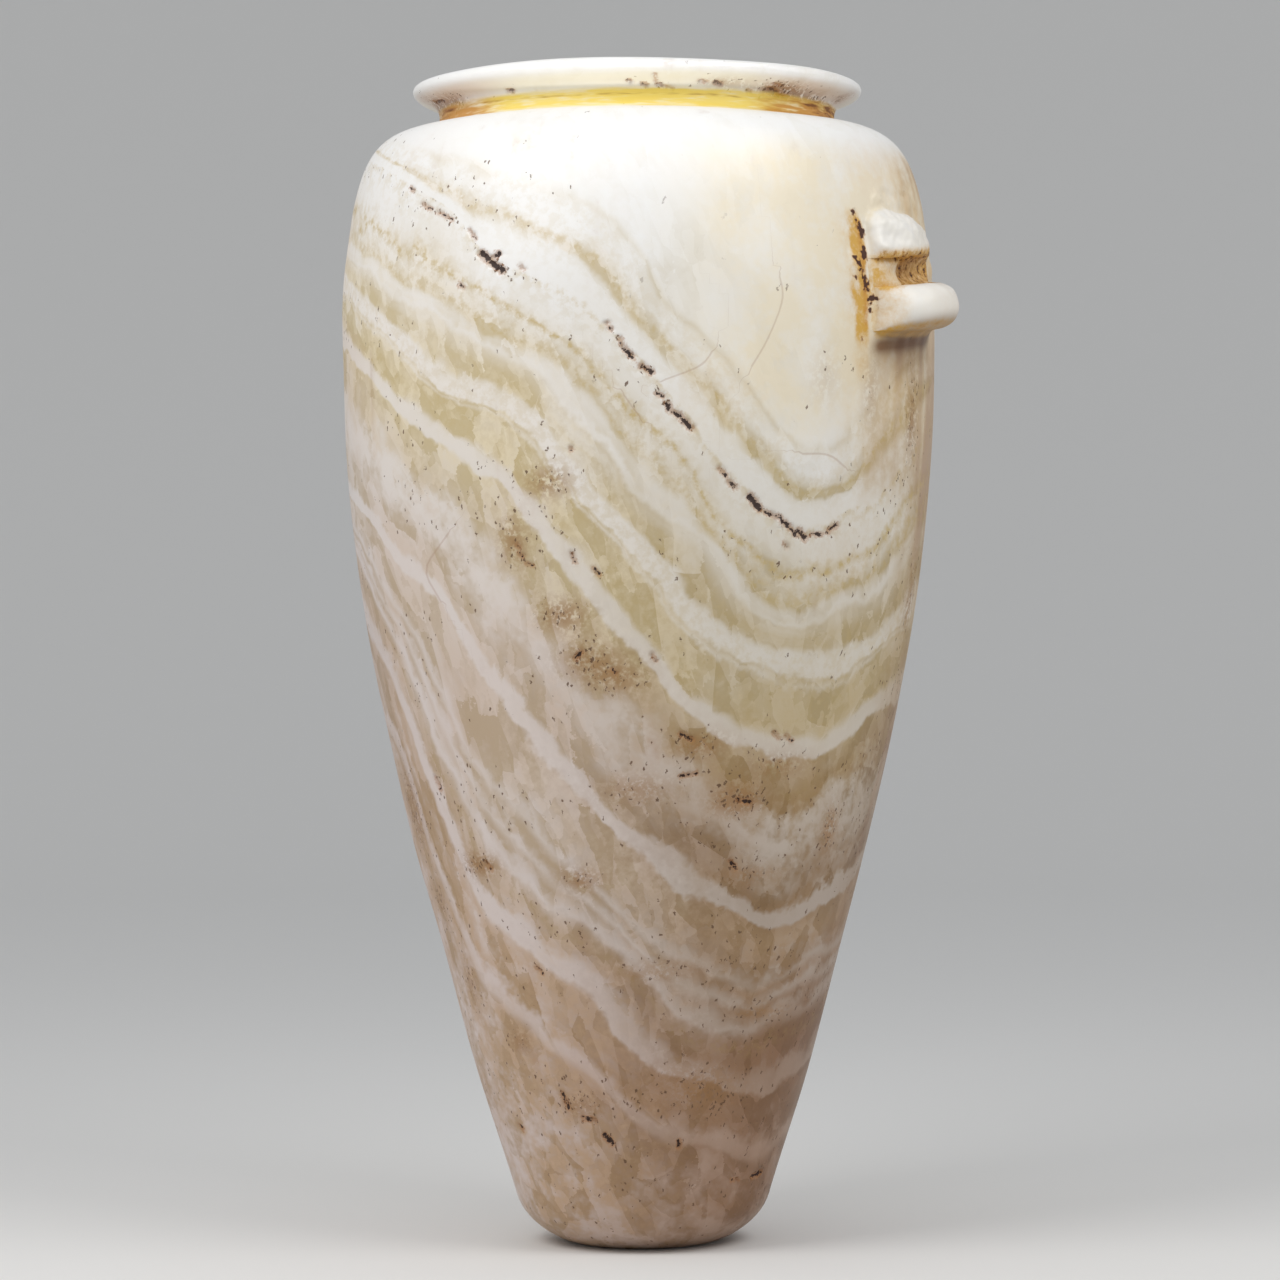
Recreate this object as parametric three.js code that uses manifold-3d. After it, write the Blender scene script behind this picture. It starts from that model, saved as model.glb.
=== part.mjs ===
// A tall jar carved from one block of banded stone: small flat foot, body widening to a high
// round shoulder, narrow neck groove, flat flanged rim, hollow inside and open at the mouth.
// One pierced lug stands on the shoulder. Its outer wall has broken away, which leaves a worn
// stub above, the open half of the drilled channel, and a blunt prong below.
//
// Millimetres, +Z up. The origin is the middle of the flat foot. The lug points along +X.

import * as THREE from 'three';
import { mergeVertices } from 'three/addons/utils/BufferGeometryUtils.js';
import Module from 'manifold-3d';

const wasm = await Module();
wasm.setup();

// Driving dimensions of the vessel
const HEIGHT = 400;
const FOOT_FLAT_RADIUS = 22;
const FOOT_CORNER = { radius: 43.9, height: 16.4 };
const BELLY_RADIUS = 102.2;
const SHOULDER_START = { radius: 98.6, height: 354 };
const SHOULDER_END = { radius: 72.5, height: 383.5 };
const NECK_RADIUS = 68.4;
const NECK_HEIGHT = 388.2;
const RIM_RADIUS = 77.6;
const RIM_WIDEST_HEIGHT = 397.2;
const RIM_LAND_OUTER_RADIUS = 64;

// Handles of the cubic curves between those points, as radius and height
const FOOT_HANDLES = [[29.6, 0], [41.3, 7.6]];
const SHOULDER_HANDLES = [[94.9, 375.5], [89.0, 382.5]];
const NECK_HANDLES = [[70.2, 383.8], [NECK_RADIUS, 385]];
const RIM_UNDERSIDE_HANDLES = [[NECK_RADIUS, 394.8], [RIM_RADIUS, 393]];
const RIM_TOP_HANDLES = [[RIM_RADIUS, HEIGHT], [69.8, 399.8]];

// Driving dimensions of the hollow
const WALL = 14.4;
const MOUTH_RADIUS = 51;
const LIP_ROUNDING = 3.2;
const NECK_BORE_BOTTOM = 384;
const HOLLOW_SIDES_SPAN = { low: 45, high: 327 };
const BOTTOM_THICKNESS = 27;
const BOTTOM_HANDLES = [[22, BOTTOM_THICKNESS], [34, 33]];
const INNER_SHOULDER_HANDLES = [[87, 352], [MOUTH_RADIUS, 366]];
const LIP_HANDLES = [[MOUTH_RADIUS, HEIGHT - 1], [MOUTH_RADIUS + 1, HEIGHT]];

// Outer radius at even steps of height, from just above the foot to the start of the shoulder
const BODY_STEP = 27.7;
const BODY_FIRST_HEIGHT = 49.9;
const BODY_RADII = [54.4, 62.2, 69.7, 77.0, 83.5, 89.5, 94.7, 98.7, 101.3, BELLY_RADIUS, 101.9];

// Driving dimensions of the lug, on the +X side
const LUG_ROOT_X = 92;
const LUG_REACH = 60;
const LUG_HEIGHT = 329;
const LUG_TILT = THREE.MathUtils.degToRad(6.5);
const CHANNEL_HEIGHT = 331;
const CHANNEL_RADIUS = 5.2;
const CHANNEL_AXIS_X = 103.6;
const CHANNEL_STEP_Y = -8;
const SHALLOW_CHANNEL_AXIS_X = 107;
const CHANNEL_STOCK_X = 104;
const CHANNEL_STOCK_SPAN = { low: 322, high: 340 };
const PRONG_SPAN = { low: 296, high: 332 };
const STUB_SPAN = { low: 330, high: 360 };

// Facets around the vessel and its hollow, and steps along each stretch of an outline
const SIDES = 64;
const HOLLOW_SIDES = 48;
const BODY_STEPS = 16;
const CORNER_STEPS = 6;
const SHOULDER_STEPS = 8;
const NECK_STEPS = 3;
const RIM_UNDERSIDE_STEPS = 6;
const RIM_TOP_STEPS = 5;
const LIP_STEPS = 3;
const ROUND_STEPS = 16;
const MERGE_DISTANCE = 1e-3;

const STONE_COLOUR = 0xe6dcc4;
const STONE_ROUGHNESS = 0.42;

const at = (x, y) => new THREE.Vector2(x, y);

// A cubic curve between two points with two handles, as a list of points without its first
function bend(from, handles, to, steps) {
  const curve = new THREE.CubicBezierCurve(...[from, ...handles, to].map((p) => at(...p)));
  return curve.getPoints(steps).slice(1);
}

// The stations of the body, bottom to top
function bodyStations() {
  const stations = BODY_RADII.map((radius, i) => at(radius, BODY_FIRST_HEIGHT + i * BODY_STEP));
  const foot = at(FOOT_CORNER.radius, FOOT_CORNER.height);
  const shoulder = at(SHOULDER_START.radius, SHOULDER_START.height);
  return [foot, ...stations, shoulder];
}

// Outline of the whole outside, from the middle of the foot up to the axis at the top
function outsideOutline() {
  const foot = [FOOT_CORNER.radius, FOOT_CORNER.height];
  const shoulder = [SHOULDER_START.radius, SHOULDER_START.height];
  const shoulderEnd = [SHOULDER_END.radius, SHOULDER_END.height];
  const neck = [NECK_RADIUS, NECK_HEIGHT];
  const rim = [RIM_RADIUS, RIM_WIDEST_HEIGHT];
  const land = [RIM_LAND_OUTER_RADIUS, HEIGHT];
  const body = new THREE.SplineCurve(bodyStations()).getSpacedPoints(BODY_STEPS).slice(1);
  return [
    at(0, 0),
    at(FOOT_FLAT_RADIUS, 0),
    ...bend([FOOT_FLAT_RADIUS, 0], FOOT_HANDLES, foot, CORNER_STEPS),
    ...body,
    ...bend(shoulder, SHOULDER_HANDLES, shoulderEnd, SHOULDER_STEPS),
    ...bend(shoulderEnd, NECK_HANDLES, neck, NECK_STEPS),
    ...bend(neck, RIM_UNDERSIDE_HANDLES, rim, RIM_UNDERSIDE_STEPS),
    ...bend(rim, RIM_TOP_HANDLES, land, RIM_TOP_STEPS),
    at(0, HEIGHT),
  ];
}

// Outline of the hollow, from the axis at the bottom up past the mouth
function hollowOutline() {
  const aboveMouth = HEIGHT + LIP_ROUNDING;
  const sides = bodyStations()
    .filter((p) => p.y > HOLLOW_SIDES_SPAN.low && p.y < HOLLOW_SIDES_SPAN.high)
    .map((p) => at(p.x - WALL, p.y));
  const lowest = sides[0];
  const highest = sides[sides.length - 1];
  const bottom = [0, BOTTOM_THICKNESS];
  const lowestPoint = [lowest.x, lowest.y];
  const highestPoint = [highest.x, highest.y];
  const boreBottom = [MOUTH_RADIUS, NECK_BORE_BOTTOM];
  const lipBottom = [MOUTH_RADIUS, HEIGHT - LIP_ROUNDING];
  const lipTop = [MOUTH_RADIUS + LIP_ROUNDING, HEIGHT];
  return [
    at(...bottom),
    ...bend(bottom, BOTTOM_HANDLES, lowestPoint, CORNER_STEPS),
    ...sides.slice(1),
    ...bend(highestPoint, INNER_SHOULDER_HANDLES, boreBottom, SHOULDER_STEPS),
    at(...lipBottom),
    ...bend(lipBottom, LIP_HANDLES, lipTop, LIP_STEPS),
    at(MOUTH_RADIUS + LIP_ROUNDING, aboveMouth),
    at(0, aboveMouth),
  ];
}

// A closed solid from a geometry: only positions are kept, equal corners are merged, and
// triangles that shrank to a line on the axis are dropped
function toSolid(geometry) {
  geometry.deleteAttribute('normal');
  geometry.deleteAttribute('uv');
  const merged = mergeVertices(geometry, MERGE_DISTANCE);
  const corners = merged.index.array;
  const kept = [];
  for (let i = 0; i < corners.length; i += 3) {
    const [a, b, c] = corners.slice(i, i + 3);
    if (a !== b && b !== c && c !== a) kept.push(a, b, c);
  }
  const vertProperties = new Float32Array(merged.attributes.position.array);
  const triVerts = new Uint32Array(kept);
  return new wasm.Manifold(new wasm.Mesh({ numProp: 3, vertProperties, triVerts }));
}

// Turns an outline of radius and height about the Z axis
function turned(outline, sides) {
  const geometry = new THREE.LatheGeometry(outline, sides);
  geometry.rotateX(Math.PI / 2);
  return toSolid(geometry);
}

function extruded(shape, depth) {
  return new THREE.ExtrudeGeometry(shape, { depth, bevelEnabled: false, steps: 1 });
}

// The lug was carved a little askew: its +Y end is the higher one
function askew(geometry) {
  geometry.translate(0, 0, -LUG_HEIGHT);
  geometry.rotateX(LUG_TILT);
  geometry.translate(0, 0, LUG_HEIGHT);
  return toSolid(geometry);
}

// A smooth closed outline through a few points, closed by a straight line
function smoothShape(points, divisions) {
  const curve = new THREE.SplineCurve(points.map((p) => at(...p)));
  return new THREE.Shape(curve.getPoints(divisions));
}

// Extrudes an outline drawn as seen from above, between two heights
function standing(shape, span) {
  const geometry = extruded(shape, span.high - span.low);
  geometry.translate(0, 0, span.low);
  return askew(geometry);
}

// Extrudes an outline of X and Z sideways along Y, centred on the lug
function crosswise(shape) {
  const geometry = extruded(shape, LUG_REACH);
  geometry.rotateX(Math.PI / 2);
  geometry.translate(0, LUG_REACH / 2, 0);
  return askew(geometry);
}

// Extrudes an outline of Y and Z outwards along X, from inside the wall
function outwards(shape) {
  const geometry = extruded(shape, LUG_REACH);
  geometry.rotateX(Math.PI / 2);
  geometry.rotateZ(Math.PI / 2);
  geometry.translate(LUG_ROOT_X, 0, 0);
  return askew(geometry);
}

// A round bar along Y between two places
function bar(radius, x, z, fromY, toY) {
  const geometry = new THREE.CylinderGeometry(radius, radius, toY - fromY, ROUND_STEPS);
  geometry.translate(x, (fromY + toY) / 2, z);
  return askew(geometry);
}

// The blunt prong below the channel: a rounded nose in plan and in section
function prong() {
  const plan = smoothShape(
    [
      [LUG_ROOT_X, -24], [99.5, -22.4], [102.5, -20.6], [108.5, -18.8], [113.8, -14.6], [116.8, -8],
      [117.8, 0], [117, 8.5], [113.8, 15.5], [108.5, 19.3], [102.5, 20.8], [99, 22.8], [LUG_ROOT_X, 24.5],
    ],
    36,
  );
  const section = smoothShape(
    [
      [LUG_ROOT_X, 325.2], [100, 325.6], [105, 326.3], [111, 326.4], [115.6, 323.8], [117.8, 318.6],
      [116.2, 314.2], [111.8, 311.7], [106, 310.8], [102.9, 310], [101.4, 308.2], [LUG_ROOT_X, 306.8],
    ],
    33,
  );
  return standing(plan, PRONG_SPAN).intersect(crosswise(section));
}

// The worn stub above the channel: it swells outwards as it comes down, thins towards its far
// end, and has an uneven chipped top edge
function stub() {
  const plan = smoothShape(
    [
      [LUG_ROOT_X, -24], [99.3, -22.2], [102.3, -20.6], [106, -18.6], [108.6, -13], [108.8, -4],
      [107.4, 5], [105.2, 13], [102.8, 19], [99.2, 22.4], [LUG_ROOT_X, 24],
    ],
    30,
  );
  const section = smoothShape(
    [
      [LUG_ROOT_X, 354], [100.2, 351.8], [103.4, 349.6], [106.4, 345.5], [108.6, 340.5],
      [109, 337], [107.4, 335.4], [103, 335.6], [LUG_ROOT_X, 336],
    ],
    24,
  );
  const brokenEdge = new THREE.Shape(
    [
      [-26, 333], [26, 333], [24, 338], [21.5, 343.5], [16, 347.5], [9, 349], [3, 350.8],
      [-6, 351.2], [-12, 352.6], [-19, 351], [-24, 346],
    ].map((p) => at(...p)),
  );
  return standing(plan, STUB_SPAN).intersect(crosswise(section)).intersect(outwards(brokenEdge));
}

// What is left of the stone behind the drilled channel
function channelStock() {
  const plan = smoothShape(
    [
      [LUG_ROOT_X, -24], [99.4, -22.2], [102.6, -20], [CHANNEL_STOCK_X, -14],
      [CHANNEL_STOCK_X, 0], [CHANNEL_STOCK_X, 12], [102, 18.6], [98.6, 22], [LUG_ROOT_X, 24],
    ],
    24,
  );
  return standing(plan, CHANNEL_STOCK_SPAN);
}

function jar() {
  const deep = bar(CHANNEL_RADIUS, CHANNEL_AXIS_X, CHANNEL_HEIGHT, CHANNEL_STEP_Y, LUG_REACH / 2);
  const shallow = bar(
    CHANNEL_RADIUS, SHALLOW_CHANNEL_AXIS_X, CHANNEL_HEIGHT, -LUG_REACH / 2, CHANNEL_STEP_Y + 1,
  );
  const lug = stub().add(prong()).add(channelStock());
  const outside = turned(outsideOutline(), SIDES);
  const hollow = turned(hollowOutline(), HOLLOW_SIDES);
  return outside.add(lug).subtract(deep).subtract(shallow).subtract(hollow);
}

// The solid as a mesh with its own material
function asMesh(solid, name) {
  const { vertProperties, triVerts } = solid.getMesh();
  const geometry = new THREE.BufferGeometry();
  geometry.setAttribute('position', new THREE.BufferAttribute(vertProperties, 3));
  geometry.setIndex(new THREE.BufferAttribute(triVerts, 1));
  geometry.computeVertexNormals();
  const material = new THREE.MeshStandardMaterial({
    color: STONE_COLOUR,
    roughness: STONE_ROUGHNESS,
    metalness: 0,
  });
  const mesh = new THREE.Mesh(geometry, material);
  mesh.name = name;
  return mesh;
}

const group = new THREE.Group();
group.add(asMesh(jar(), 'jar'));

export default group;
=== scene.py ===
"""A tall stone jar with a broken lug handle, carved from banded travertine, on a pale studio floor.

The jar is one closed surface: a profile turned about the Z axis, with the lug and the pits pushed out of it or
into it, and finer cells where those lie. Its finish is one procedural material that follows the stone's own
growth beds. Sizes inside the functions are millimetres; meshes are in metres.
"""

import math
from types import SimpleNamespace

import bpy
import numpy as np
from bpy.props import FloatProperty, FloatVectorProperty, IntProperty, PointerProperty
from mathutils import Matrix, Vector


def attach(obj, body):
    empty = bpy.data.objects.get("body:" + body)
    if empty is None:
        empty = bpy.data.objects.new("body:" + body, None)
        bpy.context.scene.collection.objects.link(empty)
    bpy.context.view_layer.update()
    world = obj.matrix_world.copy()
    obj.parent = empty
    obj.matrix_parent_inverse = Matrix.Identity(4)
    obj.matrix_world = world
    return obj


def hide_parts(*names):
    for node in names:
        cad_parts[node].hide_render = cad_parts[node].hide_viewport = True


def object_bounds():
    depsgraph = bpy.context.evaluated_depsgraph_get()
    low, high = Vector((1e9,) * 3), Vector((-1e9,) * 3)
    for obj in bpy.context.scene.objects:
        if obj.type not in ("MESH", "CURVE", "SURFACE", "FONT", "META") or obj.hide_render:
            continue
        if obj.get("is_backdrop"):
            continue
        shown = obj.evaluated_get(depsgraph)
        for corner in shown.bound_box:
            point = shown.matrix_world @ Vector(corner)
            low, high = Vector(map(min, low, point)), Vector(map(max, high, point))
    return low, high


bl_info = {
    "name": "Lug-handled Stone Jar",
    "version": (1, 0, 0),
    "blender": (4, 5, 0),
    "location": "View3D > Sidebar > Stone Jar",
    "description": "Builds a banded stone jar with a pierced, broken lug and a plain studio round it",
    "category": "Object",
}

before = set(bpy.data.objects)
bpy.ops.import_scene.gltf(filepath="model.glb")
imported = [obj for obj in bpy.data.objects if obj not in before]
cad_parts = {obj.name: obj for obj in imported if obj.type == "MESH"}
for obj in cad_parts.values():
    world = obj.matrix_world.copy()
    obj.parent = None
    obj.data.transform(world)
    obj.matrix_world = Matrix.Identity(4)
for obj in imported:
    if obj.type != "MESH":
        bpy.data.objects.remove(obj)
CAD_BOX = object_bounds()
MM = 0.001

# The direction from the jar to the camera, and the camera's right, both level
VIEW_AZIMUTH = math.radians(28)
CAMERA_ROLL = math.radians(0.33)
TOWARDS = np.array([math.sin(VIEW_AZIMUTH), -math.cos(VIEW_AZIMUTH), 0.0])
ACROSS = np.array([math.cos(VIEW_AZIMUTH), math.sin(VIEW_AZIMUTH), 0.0])
UP = np.array([0.0, 0.0, 1.0])

# The vessel's outline as radius and height
HEIGHT = 400.0
FOOT_FLAT = (22.0, 0.0)
FOOT_CORNER = (43.9, 16.4)
BODY_FIRST_HEIGHT = 49.9
BODY_STEP = 27.7
BODY_RADII = (54.4, 62.2, 69.7, 77.0, 83.5, 89.5, 94.7, 98.7, 101.3, 102.2, 101.9)
SHOULDER_START = (98.6, 354.0)
SHOULDER_END = (72.5, 383.5)
NECK = (68.4, 388.2)
RIM = (77.6, 397.2)
RIM_LAND = (64.0, HEIGHT)
MOUTH_RADIUS = 51.0
LIP = 3.2
BORE_BOTTOM = 384.0
BOTTOM_THICKNESS = 27.0
HOLLOW_TOP = 327.0
# Its curves, each as one end, two handles and the other end
FOOT_CURVE = (FOOT_FLAT, (29.6, 0), (41.3, 7.6), FOOT_CORNER)
SHOULDER_CURVE = (SHOULDER_START, (94.9, 375.5), (89, 382.5), SHOULDER_END)
GROOVE_CURVE = (SHOULDER_END, (70.2, 383.8), (68.4, 385), NECK)
FLANGE_CURVE = (NECK, (68.4, 394.8), (77.6, 393), RIM)
RIM_CURVE = (RIM, (77.6, HEIGHT), (69.8, 399.8), RIM_LAND)
SHOULDER_STEPS = 60
# Numbers of its stretches, as profile_stretches lists them
LUG_STRETCH, SHOULDER_STRETCH, LAND_STRETCH = 3, 4, 8

# The lug: the heights of wall it takes, half the width of its window of cells, then its own half width,
# reach and tilt
LUG_LOW, LUG_HIGH = 300.0, 358.0
LUG_WINDOW = 34.0
LUG_HALF_WIDTH = 22.3
LUG_REACH = 15.8
LUG_TILT = math.radians(6.5)
# Its channel: where along Y the drilling gets shallower, by how much, and the stone left outside the wall
CHANNEL_STEP = -8.0
CHANNEL_SHALLOWER = 3.4
CHANNEL_STOCK = 2.2
# How far the corner is rounded where the lug, as a share of its reach, or the stock meets the wall
SWELL_ROUNDING, STOCK_ROUNDING = 0.14, 0.3
# Its section from below, as reach beyond the wall and height
PRONG_SECTION = (
    (0, 300), (0, 303.6), (0.3, 306.6), (1.3, 309), (4, 310.6), (9.8, 311.6), (14.2, 314), (15.8, 318.4),
    (14, 323.4), (9.4, 326), (3.6, 326),
)
CHANNEL_SECTION = (
    (1.2, 325.9), (-0.9, 326.5), (-2.8, 328.4), (-3.5, 331), (-2.8, 333.6), (-0.9, 335.4), (1.7, 335.9),
)
STUB_SECTION = (
    (5.4, 335.8), (7.2, 337.4), (7.4, 340.6), (6.9, 344.4), (5.7, 347.6), (3.6, 350), (1.2, 351.4),
    (0, 352.8), (0, 358),
)
# The broken stub: its heights, then its ragged top edge and its share of the reach along Y
STUB_LOW, STUB_HIGH = 336.0, 352.0
STUB_TOP_EDGE = (
    (-24, 346), (-19, 351), (-12, 352.6), (-6, 351.2), (3, 350.8), (9, 349), (16, 347.5), (21.5, 343.5),
    (24, 338),
)
STUB_TAPER = ((-24, 1.05), (-8, 1.05), (5, 0.84), (14, 0.64), (22, 0.5))
# Along Y, where the lug's shape gives way to the plain wall, and beyond its ends
LUG_FADE = (25, 33)
LUG_END = 24
# The X beyond which a point is on the lug's side, and that of the lug's own stone
LUG_SIDE = 80
LUG_STONE = 97
# Heights about the lug, once its tilt is taken out, and the soiled strip of wall beside it along Y
PRONG_SHADE = 307
CHANNEL_FLOOR = 326.2
CHANNEL_MIDDLE = 330.6
CHANNEL_LIP = 336.4
STRIP_PLACE = -28

# Cells nearer than this to a pit's edge are cut smaller
PIT_ZONE = 2.4
# How deep cracks go, and the distance of a point from marks that aren't near it
CRACK_DEPTH = 6
FAR = 50.0

# The growth beds: each traced line is a level in the stone, then places on the jar's front as
# millimetres across from its middle and height
FOLDS = (
    (106.5, (
        (-102, 386), (-82, 376), (-62, 366), (-45, 358), (-30, 352), (-19, 349), (-10, 343), (0, 332),
        (9, 317), (20, 305), (31, 293), (44, 278), (54, 272), (66, 274), (78, 284), (102, 308),
    )),
    (120.6, (
        (-102, 384), (-90, 375), (-72, 361), (-57, 352), (-43, 344), (-30, 339), (-19, 336), (-11, 330),
        (-3, 318), (7, 305), (20, 294), (32, 280), (46, 265), (54, 259), (64, 260), (74, 267), (102, 300),
    )),
    (138.4, (
        (-102, 380), (-81, 363), (-61, 347), (-48, 331), (-38, 326), (-27, 320), (-17, 315), (-9, 309),
        (2, 296), (16, 278), (27, 262), (38, 252), (50, 243), (60, 242), (69, 247), (80, 255), (102, 282),
    )),
    (158.0, (
        (-102, 354), (-79, 332), (-65, 322), (-55, 317), (-42, 310), (-29, 305), (-19, 299), (-11, 288),
        (-5, 277), (6, 265), (18, 253), (32, 235), (44, 227), (54, 224), (66, 227), (78, 235), (102, 260),
    )),
    (181.0, (
        (-102, 334), (-81, 311), (-64, 296), (-48, 288), (-37, 284), (-26, 271), (-13, 255), (5, 232),
        (26, 211), (39, 203), (52, 200), (70, 204), (82, 210), (102, 232),
    )),
    (210.0, (
        (-102, 312), (-85, 293), (-76, 282), (-64, 273), (-47, 264), (-37, 250), (-22, 231), (-7, 212),
        (5, 200), (21, 183), (32, 175), (48, 171), (63, 174), (77, 183), (102, 198),
    )),
    (265.0, (
        (-102, 262), (-82, 240), (-71, 230), (-60, 213), (-49, 194), (-38, 180), (-22, 162), (-1, 142),
        (16, 130), (29, 122), (41, 116), (57, 121), (72, 129), (102, 150),
    )),
    (309.0, (
        (-102, 246), (-84, 208), (-76, 188), (-67, 164), (-54, 137), (-46, 130), (-37, 122), (-29, 113),
        (-14, 102), (1, 89), (12, 80), (26, 74), (36, 72), (48, 75), (62, 84), (102, 112),
    )),
    (342.0, (
        (-102, 212), (-82, 174), (-72, 143), (-58, 107), (-51, 92), (-38, 82), (-28, 74), (-16, 65),
        (-6, 54), (5, 45), (19, 41), (32, 37), (41, 35), (52, 42), (102, 76),
    )),
)

# How the beds change behind the jar's widest line: swing and shift across, then dip and its swing
BACK_SWING, BACK_SHIFT, BACK_DIP, BACK_DIP_SWING = 16, 14, 34, 9
# How far each level wavers
BED_WAVER = 1.6

# Pits on the front: across and height of both ends, and radius
PITS = (
    (-51, 334, -48, 331, 1.3), (-48, 331, -44, 328, 1.2), (-48, 332, -45, 333.5, 0.7),
    (-75, 358, -74, 357, 0.4), (-71, 352, -68, 350, 0.5), (-66, 349, -61, 346, 0.5),
    (-55, 342, -53, 339, 0.4), (-58, 324, -57, 323, 0.5), (-38, 329, -37, 328, 0.5),
    (-10, 310, -9, 308, 0.6), (-6, 305, -5, 302, 0.5), (-4, 301, -2, 299, 0.8), (1, 296, 4, 294, 1.0),
    (6, 287, 8, 286, 0.6), (9, 284, 10, 282, 0.7), (11, 281, 13, 280, 0.8), (14, 279, 17, 276, 1.0),
    (26, 263, 28, 261, 0.6), (29, 259, 31, 257, 0.7), (36, 254, 39, 250, 1.2), (41, 249, 46, 247, 0.7),
    (47, 246, 51, 242, 0.9), (52, 243, 54, 241, 1.1), (56, 242, 60, 242, 0.5), (62, 243, 65, 245, 0.9),
    (47, 239, 48, 238, 0.5), (-22, 270, -22, 269, 0.4), (-40, 239, -39, 238, 0.5),
    (-39, 236, -38, 235, 0.5), (-37, 233, -35, 232, 0.4), (-22, 236, -21, 233, 0.5),
    (-15, 231, -13, 229, 0.5), (-9, 198, -8, 197, 0.6), (-21, 202, -19, 204, 0.6), (4, 203, 5, 201, 0.5),
    (13, 177, 17, 175, 0.7), (44, 177, 46, 175, 0.5), (48, 176, 50, 174, 0.5), (13, 163, 18, 164, 0.5),
    (32, 155, 36, 154, 0.7), (-69, 162, -67, 158, 0.6), (-35, 99, -33, 97, 0.5), (29, 135, 31, 132, 0.5),
    (-52, 134, -50, 132, 0.5), (-27, 56, -25, 51, 0.7), (-20, 48, -16, 47, 0.7), (-13, 42, -10, 39, 0.8),
    (-42, 43, -41, 42, 0.6), (37, 25, 40, 26, 0.7), (30, 25, 32, 25, 0.5), (12, 40, 12, 38, 0.5),
    (-43, 391.4, -41, 391, 0.5), (-3, 392.4, -2, 392, 0.4), (2, 391.2, 3, 390.8, 0.5),
    (6, 394, 6.4, 391.4, 0.3), (6.4, 391.4, 12, 389.8, 0.3), (21, 392.4, 23, 392, 0.4),
    (26, 392, 28, 391.6, 0.6), (37, 390.2, 38, 389.8, 0.4), (44, 391.4, 47, 390.6, 0.7),
    (47, 389.6, 50, 389.4, 0.6), (46, 393, 48, 392.6, 0.4), (-69, 392.6, -66, 392, 0.5),
)

# Hair cracks on the front, as across and height
CRACKS = (
    ((46, 326), (47, 318), (42, 305), (36, 295)),
    ((7, 291), (20, 296), (24, 301)),
    ((-5, 287), (0, 280)),
    ((52, 268), (62, 268), (68, 264)),
    ((-66, 221), (-71, 231), (-66, 239), (-62, 244)),
)

# Dark dirt beside the lug: place along Y, height and radius
LUG_BLOTCHES = (
    (-27.8, 348.9, 1.0), (-25.8, 343.6, 1.7), (-25.2, 341.2, 1.5), (-24.8, 336.6, 1.0),
    (-25.2, 333.6, 1.3), (-29.0, 331.4, 1.1), (-27.6, 328.8, 1.4), (-26.2, 326.0, 1.5),
    (-25.2, 323.4, 1.2), (-24.0, 320.6, 1.0), (-23.6, 318.4, 1.2), (-24.4, 316.4, 0.9),
    (-30.2, 326.4, 0.7), (-30.8, 333.0, 0.6), (-28.2, 306.4, 0.7),
)

# Brown stains on the front: across, height, half width, half height, strength
STAINS = (
    (-29, 259, 7, 5, 0.9), (-41, 240, 5, 8, 0.8), (-25, 216, 8, 5, 1.0), (-17, 201, 10, 6, 0.8),
    (-7, 195, 9, 5, 0.7), (32, 155, 9, 5, 1.4), (19, 173, 9, 4, 0.9), (46, 166, 12, 4, 0.7),
    (-1, 159, 12, 5, 0.7), (-54, 133, 8, 4, 1.1), (-20, 129, 7, 4, 0.9), (-77, 150, 7, 14, 1.2),
    (19, 58, 16, 9, 0.7), (-20, 52, 9, 4, 0.8), (-41, 73, 5, 5, 0.8), (63, 144, 5, 10, 1.0),
    (-62, 390, 8, 3, 1.2), (50, 391, 11, 2.5, 0.9), (30, 392, 8, 1.5, 0.5), (36, 130, 12, 3, 0.7),
    (-68, 118, 5, 8, 0.8), (6, 98, 14, 3, 0.6), (40, 83, 14, 3, 0.7), (-58, 92, 5, 10, 0.7),
    (92, 221, 5, 14, 0.9), (92, 281, 5, 14, 0.9), (61, 293, 6, 9, 0.22), (77, 290, 4, 12, 0.4),
    (-68, 391.5, 9, 2.6, 1.2), (-64, 387, 8, 2.4, 1.0), (47, 391, 7, 2.2, 1.0), (60, 389.5, 9, 2.2, 1.3),
    (66, 386.5, 7, 2.4, 1.8), (70, 393, 6, 2.0, 0.8),
)


def smoothstep(value, low, high):
    """0 below low, 1 above high, and 3t^2 - 2t^3 between them."""
    t = np.clip((value - low) / (high - low), 0, 1)
    return t * t * (3 - 2 * t)


def within(value, low, full, fading, gone):
    """1 from full to fading and 0 outside low and gone, with smoothsteps between them."""
    return smoothstep(value, low, full) * (1 - smoothstep(value, fading, gone))


def bell(value, middle, width, power=2):
    """e to the minus of the distance from the middle over the width, to a power: 1 at the middle."""
    return np.exp(-(((value - middle) / width) ** power))


def cubic(start, handle_a, handle_b, end, steps=24):
    """A cubic curve: both ends and both handles, weighted by the four Bernstein terms."""
    t = np.linspace(0, 1, steps + 1)[:, None]
    p = [np.array(q, float) for q in (start, handle_a, handle_b, end)]
    return (1 - t) ** 3 * p[0] + 3 * t * (1 - t) ** 2 * p[1] + 3 * t * t * (1 - t) * p[2] + t**3 * p[3]


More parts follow.
